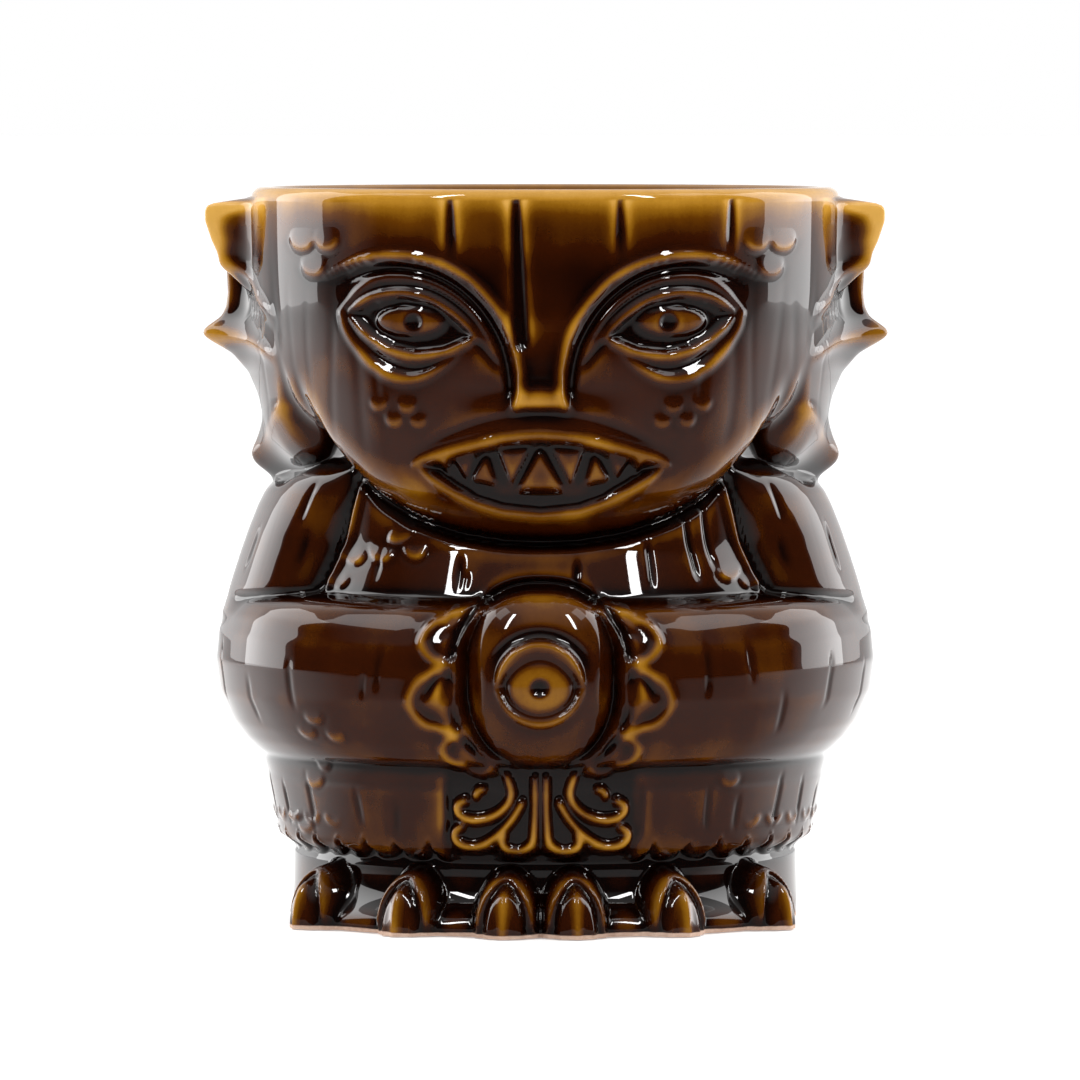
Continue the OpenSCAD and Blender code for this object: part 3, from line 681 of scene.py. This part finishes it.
# feet: three toes each, a hood over a claw with a sharp crest
TOES = [-53, -28, -6.9, 6.9, 28, 53]
TOE_HALF = 6.5
TOE_REACH = 9.4
TOE_TALL = 11.4
TOE_R = 48.5  # where a toe's width is measured
TOE_BED = 44.0
FEET_TOP = 12.0
CLAW_TOP = 10.0
CLAW = [(-3.3, -0.5), (-3.1, 2.6), (-2.4, 5.5), (-1.2, 7.7), (0, 8.8), (1.2, 7.7), (2.4, 5.5), (3.1, 2.6),
        (3.3, -0.5)]
toe_rise = blank()
toe_pool_and_shade = blank()
foot_mask = blank_sides()
claw_mask = blank_sides()
for angle in TOES:
    side = 1 if angle > 0 else -1
    arc = np.radians(AROUND - angle) * TOE_R
    top = TOE_TALL * np.sqrt(np.clip(1 - (np.abs(arc) / (TOE_HALF * 1.04)) ** 2.2, 0, 1))
    up_toe = np.clip(Z / np.maximum(top, 0.01), 0, 1.5)
    side_round = np.clip(1 - (np.abs(arc) / TOE_HALF) ** 3.0, 0, 1) ** 0.55
    hood = (TOE_REACH - 1.0) * side_round * np.clip(1 - up_toe**2.6, 0, 1) ** 0.55
    outline = Line(CLAW, reach=3.2, around=arc)
    past = np.where(outline.side > 0, -outline.dist, outline.dist)  # how far outside the claw
    past = np.where(outline.near, past, 9)
    claw = step(0.15, -0.5, past)
    crest = np.exp(-((arc / 0.95) ** 2)) * step(8.8, 6.8, Z) * claw
    furrow = np.exp(-(((past - 0.4) / 0.42) ** 2))
    arch = np.exp(-(((past - 1.5) / 0.6) ** 2)) * step(0.8, 2.6, Z)
    beyond = step(2.0, 2.8, past) * step(TOE_HALF * 1.2, TOE_HALF, np.abs(arc))
    shape = hood + step(0.2, 1.6, hood) * (claw * (0.5 + 1.0 * crest) - 0.8 * furrow + 0.85 * arch)
    toe_rise = np.maximum(toe_rise, shape)
    toe_pool_and_shade += step(0.4, 1.2, hood) * (0.4 * furrow - 0.42 * crest - 0.26 * arch + 0.1 * claw + 0.3 * beyond)
    foot_mask[side] |= (hood > 0.35) & (np.abs(arc) < TOE_HALF * 1.12)
    claw_mask[side] |= (past < -0.1) & (hood > 0.5)
    even_glaze = np.maximum(even_glaze, 0.9 * step(0.3, 1.0, hood) * (Z < FEET_TOP))
toe_rise = np.where(Z < FEET_TOP, toe_rise, 0)
instep = 6.0 * np.exp(-((Z / 5.0) ** 2)) * step(67, 59, SIDE)
for side in (-1, 1):
    foot_mask[side] |= (instep > 0.8) & (np.sign(AROUND) == side)
skin = np.where(Z < FEET_TOP, higher(skin + instep, TOE_BED + toe_rise, 0.7), skin)
# painted shade: the instep between the toes is darkened
toe_pool_and_shade = toe_pool_and_shade + 0.25 * step(0.3, 2.0, instep) * step(2.0, 0.5, toe_rise - instep)
pool_and_shade_extra += np.where(Z < FEET_TOP, toe_pool_and_shade, 0)

# ---------------------------------------------------------------- the whole outer surface

shape_r = np.where(above_jaw > 0, np.maximum(head, 0), skin)
join = step(-0.9, 0.9, above_jaw)
shape_r = np.where(np.abs(above_jaw) < 0.9, skin * (1 - join) + head * join, shape_r)


def soften(field, times):
    """Averages each spot with its neighbours, round the cup and up and down."""
    out = field.copy()
    for _ in range(times):
        out = 0.5 * out + 0.25 * (np.roll(out, 1, 1) + np.roll(out, -1, 1))
        up = np.vstack([out[1:], out[-1:]])
        down = np.vstack([out[:1], out[:-1]])
        out = 0.5 * out + 0.25 * (up + down)
    return out


shape_r = soften(shape_r, 1)
fin_root = step(66, 74, SIDE) * step(112, 104, SIDE) * step(94, 89, Z)  # smoother where the web runs down
shape_r += (soften(shape_r, 12) - shape_r) * fin_root * step(-3, 0, above_jaw)

# how deep the glaze lies: thin on what stands up, deep in what is sunk, at three sizes of form; painted shade
# is added to it under the jaw, under the hem and between the toes
fine = shape_r - soften(shape_r, 8)
small = shape_r - soften(shape_r, 22)
wide = shape_r - soften(shape_r, 170)
rng = np.random.default_rng(7)
mottle = soften(rng.standard_normal(X.shape), 60)
mottle /= mottle.std()
on_lips = upper_lip + lower_lip
evenness = np.where((is_forearm & ~hand_any) | is_upper_arm, 0.7, 0.0)
evenness = np.maximum(evenness, 0.55 * (orb_cover & (ring_d > 8)))
evenness = np.maximum(evenness, 0.35 * step(0.02, 0.3, on_lips))
evenness = np.maximum(evenness, 0.75 * even_glaze)
along_jaw = 0.85 * np.exp(-((above_jaw / 6.0) ** 2)) * (above_jaw > -0.5)
evenness = np.maximum(evenness, along_jaw * (1 - step(0.02, 0.2, on_lips)))
evenness = soften(evenness, 4)
pool_and_shade_extra -= 0.24 * step(66, 72, SIDE) * step(94, 89, SIDE) * step(100, 106, Z)
raised = 0.15 * np.tanh(np.maximum(fine, 0) / 0.11) + 0.22 * np.tanh(np.maximum(small, 0) / 0.28)
sunk = 0.18 * np.tanh(np.maximum(-fine, 0) / 0.12) + 0.25 * np.tanh(np.maximum(-small, 0) / 0.32)
glaze_depth = 0.64 - raised * (1 - evenness) + sunk - 0.08 * np.tanh(wide / 0.9) * (1 - evenness)
glaze_depth = glaze_depth + pool_and_shade_extra * 0.8 + 0.035 * mottle
glaze_depth -= 0.42 * np.exp(-(LIP_Z - Z) / 3.8)  # thin along the rim
forehead = step(119, 113, Z) * step(98, 106, Z)
glaze_depth += 0.24 * forehead * (1 - step(0.02, 0.3, relief)) * step(-3.5, 0, above_jaw)
glaze_depth += 0.3 * np.exp(-(((above_jaw + 0.6) / 1.4) ** 2))  # painted shade: a dark line in the crease under the jaw
glaze_depth += 0.32 * step(9.5, 11, Z) * step(13.6, 12.2, Z)  # painted shade: a dark band under the hem, above the toes
glaze_depth = np.clip(soften(glaze_depth, 2), 0, 1)

# ---------------------------------------------------------------- who owns which patch

# the pieces laid on the wall; the wall's own are head_bowl, torso_bowl, plinth and bare_foot
APPLIED = ["left_fin", "right_fin", "left_upper_arm", "right_upper_arm", "left_forearm", "right_forearm",
           "left_hand", "right_hand", "orb_body", "orb_eyelid", "orb_eyeball", "tentacles", "brow_and_nose",
           "left_eyelids", "right_eyelids", "left_eyeball", "right_eyeball", "lips", "teeth", "left_foot",
           "right_foot", "left_toe_claws", "right_toe_claws", "hem_scales"]
on_head = above_jaw > 0.6
owner = np.full(X.shape, -1)


def claim(name, mask):
    owner[mask] = APPLIED.index(name)


SIDES = (("left", -1), ("right", 1))
claim("hem_scales", hem_mask)
claim("tentacles", scroll_mask)
for name, side in SIDES:
    this_side = np.sign(AROUND) == side
    claim(name + "_upper_arm", is_upper_arm & this_side & ~on_head)
    claim(name + "_forearm", is_forearm & this_side & ~on_head)
    claim(name + "_hand", hand_mask[side])
claim("orb_body", orb_cover)
claim("orb_eyelid", orb_lid_mask)
claim("orb_eyeball", orb_ball_mask)
claim("brow_and_nose", brow_mask & on_head)
for name, side in SIDES:
    claim(name + "_eyelids", lids_mask[side] & ~brow_mask)
    claim(name + "_eyeball", eyeball_mask[side])
claim("lips", lips_mask & on_head)
claim("teeth", teeth_mask)
for name, side in SIDES:
    claim(name + "_fin", fin_mask[side])
    claim(name + "_foot", foot_mask[side] & (Z < FEET_TOP))
    claim(name + "_toe_claws", claw_mask[side] & (Z < CLAW_TOP))

# a patch, the cell above and to the right of a spot, belongs to the owner of that spot
patch_owner = owner[:-1, :]
SUNK = 0.7  # how far a piece's back goes into the wall
WALL_GAP = 0.12  # between a piece's back and the wall's own surface under it
EDGE_GAP = 0.02  # how far the wall's surface is tucked under a piece's edge


def core_of(patches):
    """Spots whose four patches all belong to the piece. On the table only the two above count."""
    above = np.vstack([patches, np.zeros((1, patches.shape[1]), bool)])
    below = np.vstack([patches[:1], patches])
    return above & below & np.roll(above, 1, 1) & np.roll(below, 1, 1)


pieces_patches = {}
covered = blank(bool)
edged = blank(bool)
for name in APPLIED:
    patches = patch_owner == APPLIED.index(name)
    core = core_of(patches)
    beside_core = np.roll(core, -1, 1)
    kept = (core[:-1] | core[1:] | beside_core[:-1] | beside_core[1:]) & patches
    pieces_patches[name] = kept
    covered |= core_of(kept)
    for down in (slice(None, -1), slice(1, None)):
        edged[down] |= kept | np.roll(kept, 1, 1)

bed = np.minimum(shape_r - SUNK, WALL)
wall_r = np.where(covered, bed - WALL_GAP, np.where(edged, shape_r - EDGE_GAP, shape_r))

# ---------------------------------------------------------------- meshes


def placed(radius, height, turn=TURN):
    """Points in metres at a radius and a height, turned round the cup's axis."""
    return np.stack(np.broadcast_arrays(radius * np.sin(turn), -radius * np.cos(turn), height), -1) * MM


point = placed(shape_r, Z)


def surface_normals(points):
    """Outward directions of a sheet that closes on itself sideways."""
    across = np.roll(points, -1, 1) - np.roll(points, 1, 1)
    up = np.empty_like(points)
    up[1:-1] = points[2:] - points[:-2]
    up[0] = points[1] - points[0]
    up[-1] = points[-1] - points[-2]
    n = np.cross(across, up)
    return n / np.maximum(np.linalg.norm(n, axis=2, keepdims=True), 1e-12)


normal = surface_normals(point)


def build(name, points, normals, depth, faces, material):
    """One closed piece, shaded by the whole sheet's directions, that stands for the CAD node of its name."""
    mesh = bpy.data.meshes.new(name)
    faces = [np.asarray(f, int) for f in faces if len(f)]
    sizes = np.concatenate([np.full(len(f), f.shape[1]) for f in faces])
    loops = np.concatenate([f.ravel() for f in faces])
    mesh.vertices.add(len(points))
    mesh.vertices.foreach_set("co", np.asarray(points, np.float32).ravel())
    mesh.loops.add(len(loops))
    mesh.loops.foreach_set("vertex_index", loops.astype(np.int32))
    mesh.polygons.add(len(sizes))
    mesh.polygons.foreach_set("loop_start", (np.cumsum(sizes) - sizes).astype(np.int32))
    mesh.update(calc_edges=True)
    mesh.validate()
    mesh.polygons.foreach_set("use_smooth", np.ones(len(mesh.polygons), bool))
    layer = mesh.attributes.new("glaze_depth", "FLOAT", "POINT")
    layer.data.foreach_set("value", np.asarray(depth, np.float32))
    mesh.normals_split_custom_set_from_vertices(np.asarray(normals, float).tolist())
    mesh.materials.append(material)
    obj = bpy.data.objects.new(name, mesh)
    bpy.context.collection.objects.link(obj)
    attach(obj, "root")
    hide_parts(name)


def sheet_faces(n_rows):
    """Four-sided faces between the rows of a sheet that closes on itself sideways."""
    n = len(ANGLE)
    i, j = np.meshgrid(np.arange(n_rows - 1), np.arange(n), indexing="ij")
    k = (j + 1) % n
    return np.stack([i * n + j, i * n + k, (i + 1) * n + k, (i + 1) * n + j], -1).reshape(-1, 4)


def turned_sheet(name, outer_rows, profile, depths, material, close, soft_turn=False):
    """A wall piece: its rows of the outer sheet, then plain rings along a profile, then closed on itself.

    close is "ring" for a wall with an inside, or "discs" for a solid slab. soft_turn rounds the turn from the
    outer rows into the rings, which is a crease otherwise.
    """
    n = len(ANGLE)
    rings = np.array([placed(radius, height) for radius, height in profile])
    sheet = np.concatenate([placed(wall_r, Z)[outer_rows], rings])
    if soft_turn:
        normals = surface_normals(np.concatenate([point[outer_rows], rings]))
        normals[0] = normal[outer_rows][0]
    else:
        normals = np.concatenate([normal[outer_rows], surface_normals(rings)])
    depth = np.concatenate([glaze_depth[outer_rows], np.repeat(np.array(depths)[:, None], n, 1)])
    faces = [sheet_faces(len(sheet))]
    last = (len(sheet) - 1) * n
    idx = np.arange(n)
    nxt = (idx + 1) % n
    if close == "ring":
        faces.append(np.stack([last + idx, last + nxt, nxt, idx], 1))
    else:
        faces.append(idx[::-1][None, :])
        faces.append((last + idx)[None, :])
    build(name, sheet.reshape(-1, 3), normals.reshape(-1, 3), depth.ravel(), faces, material)


def applied_piece(name, material):
    """A form laid on the wall: its patch of the outer sheet, and a back in the wall that meets its edge."""
    patches = pieces_patches[name]
    core = core_of(patches)
    n = len(ANGLE)
    rows_at, cols_at = np.nonzero(patches)
    nxt = (cols_at + 1) % n
    low, high = rows_at * n, (rows_at + 1) * n
    quads = np.stack([low + cols_at, low + nxt, high + nxt, high + cols_at], 1)
    used, flat = np.unique(quads, return_inverse=True)
    front = flat.reshape(quads.shape)
    is_core = core.ravel()[used]
    sunk_spots = used[is_core]
    behind = np.where(is_core, len(used) + np.cumsum(is_core) - 1, np.arange(len(used)))
    back = behind[front][:, ::-1]
    back_pts = placed(bed.ravel()[sunk_spots], Z.ravel()[sunk_spots], TURN_ALL.ravel()[sunk_spots])
    front_normals = normal.reshape(-1, 3)
    pts = np.concatenate([point.reshape(-1, 3)[used], back_pts])
    normals = np.concatenate([front_normals[used], -front_normals[sunk_spots]])
    depth = np.concatenate([glaze_depth.ravel()[used], glaze_depth.ravel()[sunk_spots]])
    # a cell with one corner inside the piece is cut through that corner, so that front and back part there
    corner_in = is_core[front]
    lone = corner_in.sum(1) == 1
    spun = np.take_along_axis(front[lone], (corner_in[lone].argmax(1)[:, None] + np.arange(4)) % 4, 1)
    halves = np.concatenate([spun[:, [0, 1, 2]], spun[:, [0, 2, 3]]])
    faces = [front[~lone], back[~lone], halves, behind[halves][:, ::-1]]
    on_table = rows_at == 0
    if on_table.any():
        left, right = front[on_table, 0], front[on_table, 1]
        left_back, right_back = behind[left], behind[right]
        left_parts, right_parts = left != left_back, right != right_back
        faces.append(np.stack([right, left, left_back, right_back], 1)[left_parts & right_parts])
        faces.append(np.stack([right, left, left_back], 1)[left_parts & ~right_parts])
        faces.append(np.stack([right, left, right_back], 1)[~left_parts & right_parts])
    build(name, pts, normals, depth, faces, material)


# ---------------------------------------------------------------- finishes


class Nodes:
    """Shader nodes of one material or world."""

    def __init__(self, tree):
        self.tree = tree
        tree.nodes.clear()

    def add(self, kind, settings=None, out=0, **inputs):
        """One node. An input's key is its socket's name with _ for spaces, or _ and its number."""
        node = self.tree.nodes.new(kind)
        for key, value in (settings or {}).items():
            if key == "stops":
                self.set_stops(node.color_ramp, value)
            else:
                setattr(node, key, value)
        for key, value in inputs.items():
            socket = node.inputs[int(key[1:]) if key[0] == "_" else key.replace("_", " ")]
            if isinstance(value, Value):
                self.tree.links.new(value.socket, socket)
            else:
                socket.default_value = value
        return Value(self, node.outputs[out]) if len(node.outputs) else None

    @staticmethod
    def set_stops(ramp, stops):
        while len(ramp.elements) < len(stops):
            ramp.elements.new(0.5)
        for element, (at, colour) in zip(ramp.elements, stops):
            element.position = at
            element.color = (*colour, 1)


class Value:
    """A shader socket that Python's operators work on."""

    def __init__(self, nodes, socket):
        self.nodes, self.socket = nodes, socket

    def _math(self, operation, a, b):
        return self.nodes.add("ShaderNodeMath", {"operation": operation}, _0=a, _1=b)

    def __add__(self, other):
        return self._math("ADD", self, other)

    def __radd__(self, other):
        return self._math("ADD", other, self)

    def __sub__(self, other):
        return self._math("SUBTRACT", self, other)

    def __rsub__(self, other):
        return self._math("SUBTRACT", other, self)

    def __mul__(self, other):
        return self._math("MULTIPLY", self, other)

    def __rmul__(self, other):
        return self._math("MULTIPLY", other, self)

    def clamped(self, low, high):
        """0 at low and 1 at high."""
        return self.nodes.add("ShaderNodeMapRange", {"clamp": True}, Value=self, From_Min=low, From_Max=high)


# how deep the glaze lies, with painted shade added in places, and its colour there: amber where it is thin,
# near black in the pools and in the painted shade
GLAZE_STOPS = [(0.0, (0.60, 0.33, 0.07)), (0.16, (0.41, 0.195, 0.018)), (0.30, (0.23, 0.096, 0.005)),
               (0.44, (0.095, 0.028, 0.0008)), (0.60, (0.027, 0.0045, 0.0002)),
               (1.0, (0.003, 0.0004, 0.0001))]
CLAY_STOPS = [(0.0, (0.50, 0.33, 0.25)), (1.0, (0.68, 0.50, 0.40))]


def clay_colour(nodes, where):
    speck = nodes.add("ShaderNodeTexNoise", Vector=where, Scale=900.0, Detail=3.0)
    tone = nodes.add("ShaderNodeTexNoise", Vector=where, Scale=60.0, Detail=2.0)
    amount = speck.clamped(0.35, 0.7) * 0.5 + tone.clamped(0.3, 0.7) * 0.5
    return nodes.add("ShaderNodeValToRGB", {"stops": CLAY_STOPS}, Fac=amount)


def glaze_finish(name):
    """Glossy brown glaze: amber where it runs thin, near black where it pools and where shade is painted in;
    bare clay at the very foot.
    """
    material = bpy.data.materials.new(name)
    material.use_nodes = True
    nodes = Nodes(material.node_tree)
    where = nodes.add("ShaderNodeTexCoord", out=3)
    depth = nodes.add("ShaderNodeAttribute", {"attribute_name": "glaze_depth"}, out=2)
    cloud = nodes.add("ShaderNodeTexNoise", Vector=where, Scale=130.0, Detail=4.0, Roughness=0.6)
    grain = nodes.add("ShaderNodeTexNoise", Vector=where, Scale=2600.0, Detail=2.0)
    runs_at = nodes.add("ShaderNodeMapping", Vector=where, Scale=(420.0, 420.0, 60.0))
    runs = nodes.add("ShaderNodeTexNoise", Vector=runs_at, Scale=1.0, Detail=2.0)
    thickness_and_shade = depth + (cloud - 0.5) * 0.10 + (grain - 0.5) * 0.05 + (runs - 0.5) * 0.07
    colour = nodes.add("ShaderNodeValToRGB", {"stops": GLAZE_STOPS}, Fac=thickness_and_shade)
    height = nodes.add("ShaderNodeSeparateXYZ", Vector=where, out=2)
    edge = nodes.add("ShaderNodeTexNoise", Vector=where, Scale=160.0, Detail=2.0)
    glazed = (height * 1000 + (edge - 0.5) * 0.5).clamped(0.55, 0.72)
    raw = clay_colour(nodes, where)
    base = nodes.add("ShaderNodeMix", {"data_type": "RGBA"}, out=2, _0=glazed, _6=raw, _7=colour)
    ripple = nodes.add("ShaderNodeTexNoise", Vector=where, Scale=95.0, Detail=1.0)
    bump = nodes.add("ShaderNodeBump", Strength=0.12, Distance=0.0005, Height=ripple)
    pinholes = nodes.add("ShaderNodeTexNoise", Vector=where, Scale=700.0, Detail=1.0)
    gloss = 0.85 - glazed * 0.57 + (pinholes - 0.5) * 0.05
    skin_shader = nodes.add("ShaderNodeBsdfPrincipled", Base_Color=base, Roughness=gloss, Coat_Weight=glazed,
                            Coat_Roughness=0.025, Coat_IOR=1.52, Normal=bump, Specular_IOR_Level=0.0)
    nodes.add("ShaderNodeOutputMaterial", Surface=skin_shader)
    return material


def clay_finish():
    """Bare fired clay of the foot: matte, pinkish buff, faintly speckled."""
    material = bpy.data.materials.new("bare clay")
    material.use_nodes = True
    nodes = Nodes(material.node_tree)
    where = nodes.add("ShaderNodeTexCoord", out=3)
    grit = nodes.add("ShaderNodeTexNoise", Vector=where, Scale=1500.0, Detail=3.0)
    bump = nodes.add("ShaderNodeBump", Strength=0.25, Distance=0.0002, Height=grit)
    rough = 0.78 + (grit - 0.5) * 0.2
    body = nodes.add("ShaderNodeBsdfPrincipled", Base_Color=clay_colour(nodes, where), Roughness=rough,
                     Normal=bump)
    nodes.add("ShaderNodeOutputMaterial", Surface=body)
    return material


brown = glaze_finish("brown glaze")
amber = glaze_finish("amber glaze")
clay = clay_finish()

# ---------------------------------------------------------------- assembling the mug

row_floor = int(np.argmin(np.abs(HEIGHT - FLOOR_Z)))
row_neck = int(np.argmin(np.abs(HEIGHT - NECK_Z)))


def arc_points(centre, wide, tall, angles):
    """Points (radius, height) on an arc. 0 degrees is outwards, 90 is up."""
    turns = [math.radians(angle) for angle in angles]
    return [(centre[0] + wide * math.cos(turn), centre[1] + tall * math.sin(turn)) for turn in turns]


def wall_at(height):
    return float(np.interp(height, WALL_HEIGHTS, WALL_RADII))


lip_out = arc_points((LIP_R - LIP_ROUND, LIP_Z), LIP_ROUND, LIP_ROUND, (12, 24, 36, 48, 60, 72, 84, 96))
lip_in = arc_points((LIP_R - WALL_T + LIP_ROUND, LIP_Z), LIP_ROUND, LIP_ROUND, (100, 115, 130, 145, 160, 172))
lip_depth = [0.16, 0.12, 0.1, 0.1, 0.12, 0.16, 0.2, 0.24, 0.26, 0.3, 0.34, 0.38, 0.42, 0.46]
hollows = soften(shape_r, 40) - 3.5  # the inside bulges in wherever the outside is hollowed
inner_head = [(np.minimum(wall_at(height) - WALL_T, hollows[np.abs(HEIGHT - height).argmin()]), height)
              for height in (125.0, 121, 112, 102, 92, 86, 80, 75, 71.5, 69, NECK_Z)]
inner_head_depth = [0.48, 0.51, 0.56, 0.59, 0.61, 0.62, 0.64, 0.67, 0.7, 0.73, 0.78]
turned_sheet("head_bowl", slice(row_neck, None), lip_out + lip_in + inner_head, lip_depth + inner_head_depth,
             brown, "ring", soft_turn=True)

inner_torso = [(wall_at(height) - WALL_T, height)
               for height in (NECK_Z, 64, 62, 58, 54, 48, 42, 34, 27.5, 22, 18)]
heel = arc_points((34.0, 17.1), 7.2, -7, (8, 20, 34, 48, 62, 76, 88))
inner_floor = [(31.0, FLOOR_Z)]
inner_torso_depth = [0.78] + [0.62] * 10 + [0.68] * len(heel) + [0.7]
turned_sheet("torso_bowl", slice(row_floor, row_neck + 1), inner_torso + heel + inner_floor,
             inner_torso_depth, brown, "ring")

plinth_top = [(radius, FLOOR_Z) for radius in (40, 34, 28, 20, 12, 5, 0.5)]
turned_sheet("plinth", slice(FOOT_ROWS, row_floor + 1), plinth_top, [0.7] * len(plinth_top), brown,
             "discs")
foot_top = [(radius, FOOT_H) for radius in (30, 15, 0.5)]
turned_sheet("bare_foot", slice(0, FOOT_ROWS + 1), foot_top, [0.5] * len(foot_top), clay,
             "discs")

AMBER_PIECES = ("orb_eyelid", "orb_eyeball", "tentacles", "left_eyeball", "right_eyeball", "lips", "teeth",
                "left_toe_claws", "right_toe_claws")
for name in APPLIED:
    if name in AMBER_PIECES:
        applied_piece(name, amber)
    else:
        applied_piece(name, brown)

# ---------------------------------------------------------------- floor and light

PALE = [(0.0, (0.9, 0.9, 0.9)), (1.0, (0.92, 0.92, 0.92))]
LIFT = 0.26


def pale_floor():
    bpy.ops.mesh.primitive_plane_add(size=60, location=(0, 0, -0.0002))
    floor = bpy.context.object
    floor.name = "floor"
    material = bpy.data.materials.new("pale floor")
    material.use_nodes = True
    nodes = Nodes(material.node_tree)
    where = nodes.add("ShaderNodeTexCoord", out=3)
    tone = nodes.add("ShaderNodeTexNoise", Vector=where, Scale=0.5, Detail=1.0)
    grey = nodes.add("ShaderNodeValToRGB", {"stops": PALE}, Fac=tone)
    # in the mug's gloss the floor shows dimmer, and fades out away from the mug
    away = nodes.add("ShaderNodeVectorMath", {"operation": "LENGTH"}, out=1, _0=where)
    y = nodes.add("ShaderNodeSeparateXYZ", Vector=where, out=1)
    beside = nodes.add("ShaderNodeMath", {"operation": "DIVIDE"}, _0=y, _1=away).clamped(-0.4, 0.25)
    near = 1 - away.clamped(0.2, 0.9)
    shine = beside * (near * 0.15 + 0.85) + (1 - beside) * near * 0.24 + 0.01
    dim = nodes.add("ShaderNodeCombineColor", Red=shine, Green=shine, Blue=shine)
    mirrored = nodes.add("ShaderNodeLightPath", out=3)
    shade = nodes.add("ShaderNodeMix", {"data_type": "RGBA"}, out=2, _0=mirrored, _6=grey, _7=dim)
    # and to the eye it is lifted to the pale backdrop's own brightness
    lift = nodes.add("ShaderNodeMix", {"data_type": "RGBA"}, out=2, _0=mirrored, _6=(LIFT, LIFT, LIFT, 1),
                     _7=(0, 0, 0, 1))
    paint = nodes.add("ShaderNodeBsdfPrincipled", Base_Color=shade, Roughness=0.9, Specular_IOR_Level=0.1,
                      Emission_Color=lift, Emission_Strength=1.0)
    nodes.add("ShaderNodeOutputMaterial", Surface=paint)
    floor.data.materials.append(material)


LAMP_AIM_Z = 0.07


def softbox(name, turn, rise, distance, width, height, power):
    """A flat lamp on a circle round the mug, facing it. Turn and rise are degrees; turn 0 is in front."""
    lamp = bpy.data.lights.new(name, "AREA")
    lamp.shape = "RECTANGLE"
    lamp.size, lamp.size_y = width, height
    lamp.energy = power
    obj = bpy.data.objects.new(name, lamp)
    bpy.context.collection.objects.link(obj)
    turn, rise = math.radians(turn), math.radians(rise)
    out, up = distance * math.cos(rise), distance * math.sin(rise)
    obj.location = (out * math.sin(turn), -out * math.cos(turn), LAMP_AIM_Z + up)
    obj.rotation_euler = (math.pi / 2 - rise, 0, turn)
    obj.visible_camera = False


def soft_ceiling():
    sun = bpy.data.lights.new("ceiling", "SUN")
    sun.energy = 1.15
    sun.angle = math.radians(70)
    obj = bpy.data.objects.new("ceiling", sun)
    bpy.context.collection.objects.link(obj)
    obj.rotation_euler = (math.radians(12), 0, 0)
    obj.visible_glossy = False


def studio():
    """A white room: bright behind the mug, dim in front, with a pale ceiling; plain white to the eye."""
    world = bpy.data.worlds.new("studio")
    bpy.context.scene.world = world
    world.use_nodes = True
    nodes = Nodes(world.node_tree)
    way = nodes.add("ShaderNodeTexCoord", out=0)
    y = nodes.add("ShaderNodeSeparateXYZ", Vector=way, out=1)
    up = nodes.add("ShaderNodeSeparateXYZ", Vector=way, out=2)
    behind = y.clamped(0.0, 0.5)
    ceiling = up.clamped(0.55, 0.95)
    far_back = y.clamped(0.7, 0.95)
    high = up.clamped(0.1, 0.45)
    glow = behind * (2.4 - far_back * 1.3) * (1 - high * 0.5) + (1 - behind) * (0.03 + ceiling * 0.5)
    seen = nodes.add("ShaderNodeLightPath", out=0)
    strength = seen + (1 - seen) * glow
    back = nodes.add("ShaderNodeBackground", Color=(1, 1, 1, 1), Strength=strength)
    nodes.add("ShaderNodeOutputWorld", Surface=back)
    for name, side in SIDES:
        softbox(name + " strip", 46 * side, 46, 1.5, 0.11, 0.6, 6)
        softbox(name + " wall", 111 * side, 19, 1.3, 0.8, 1.3, 9.5)
        softbox(name + " canopy", 82 * side, 52, 1.4, 0.5, 0.4, 1.2)
    soft_ceiling()


pale_floor()
studio()
bpy.context.scene.view_settings.view_transform = "Standard"
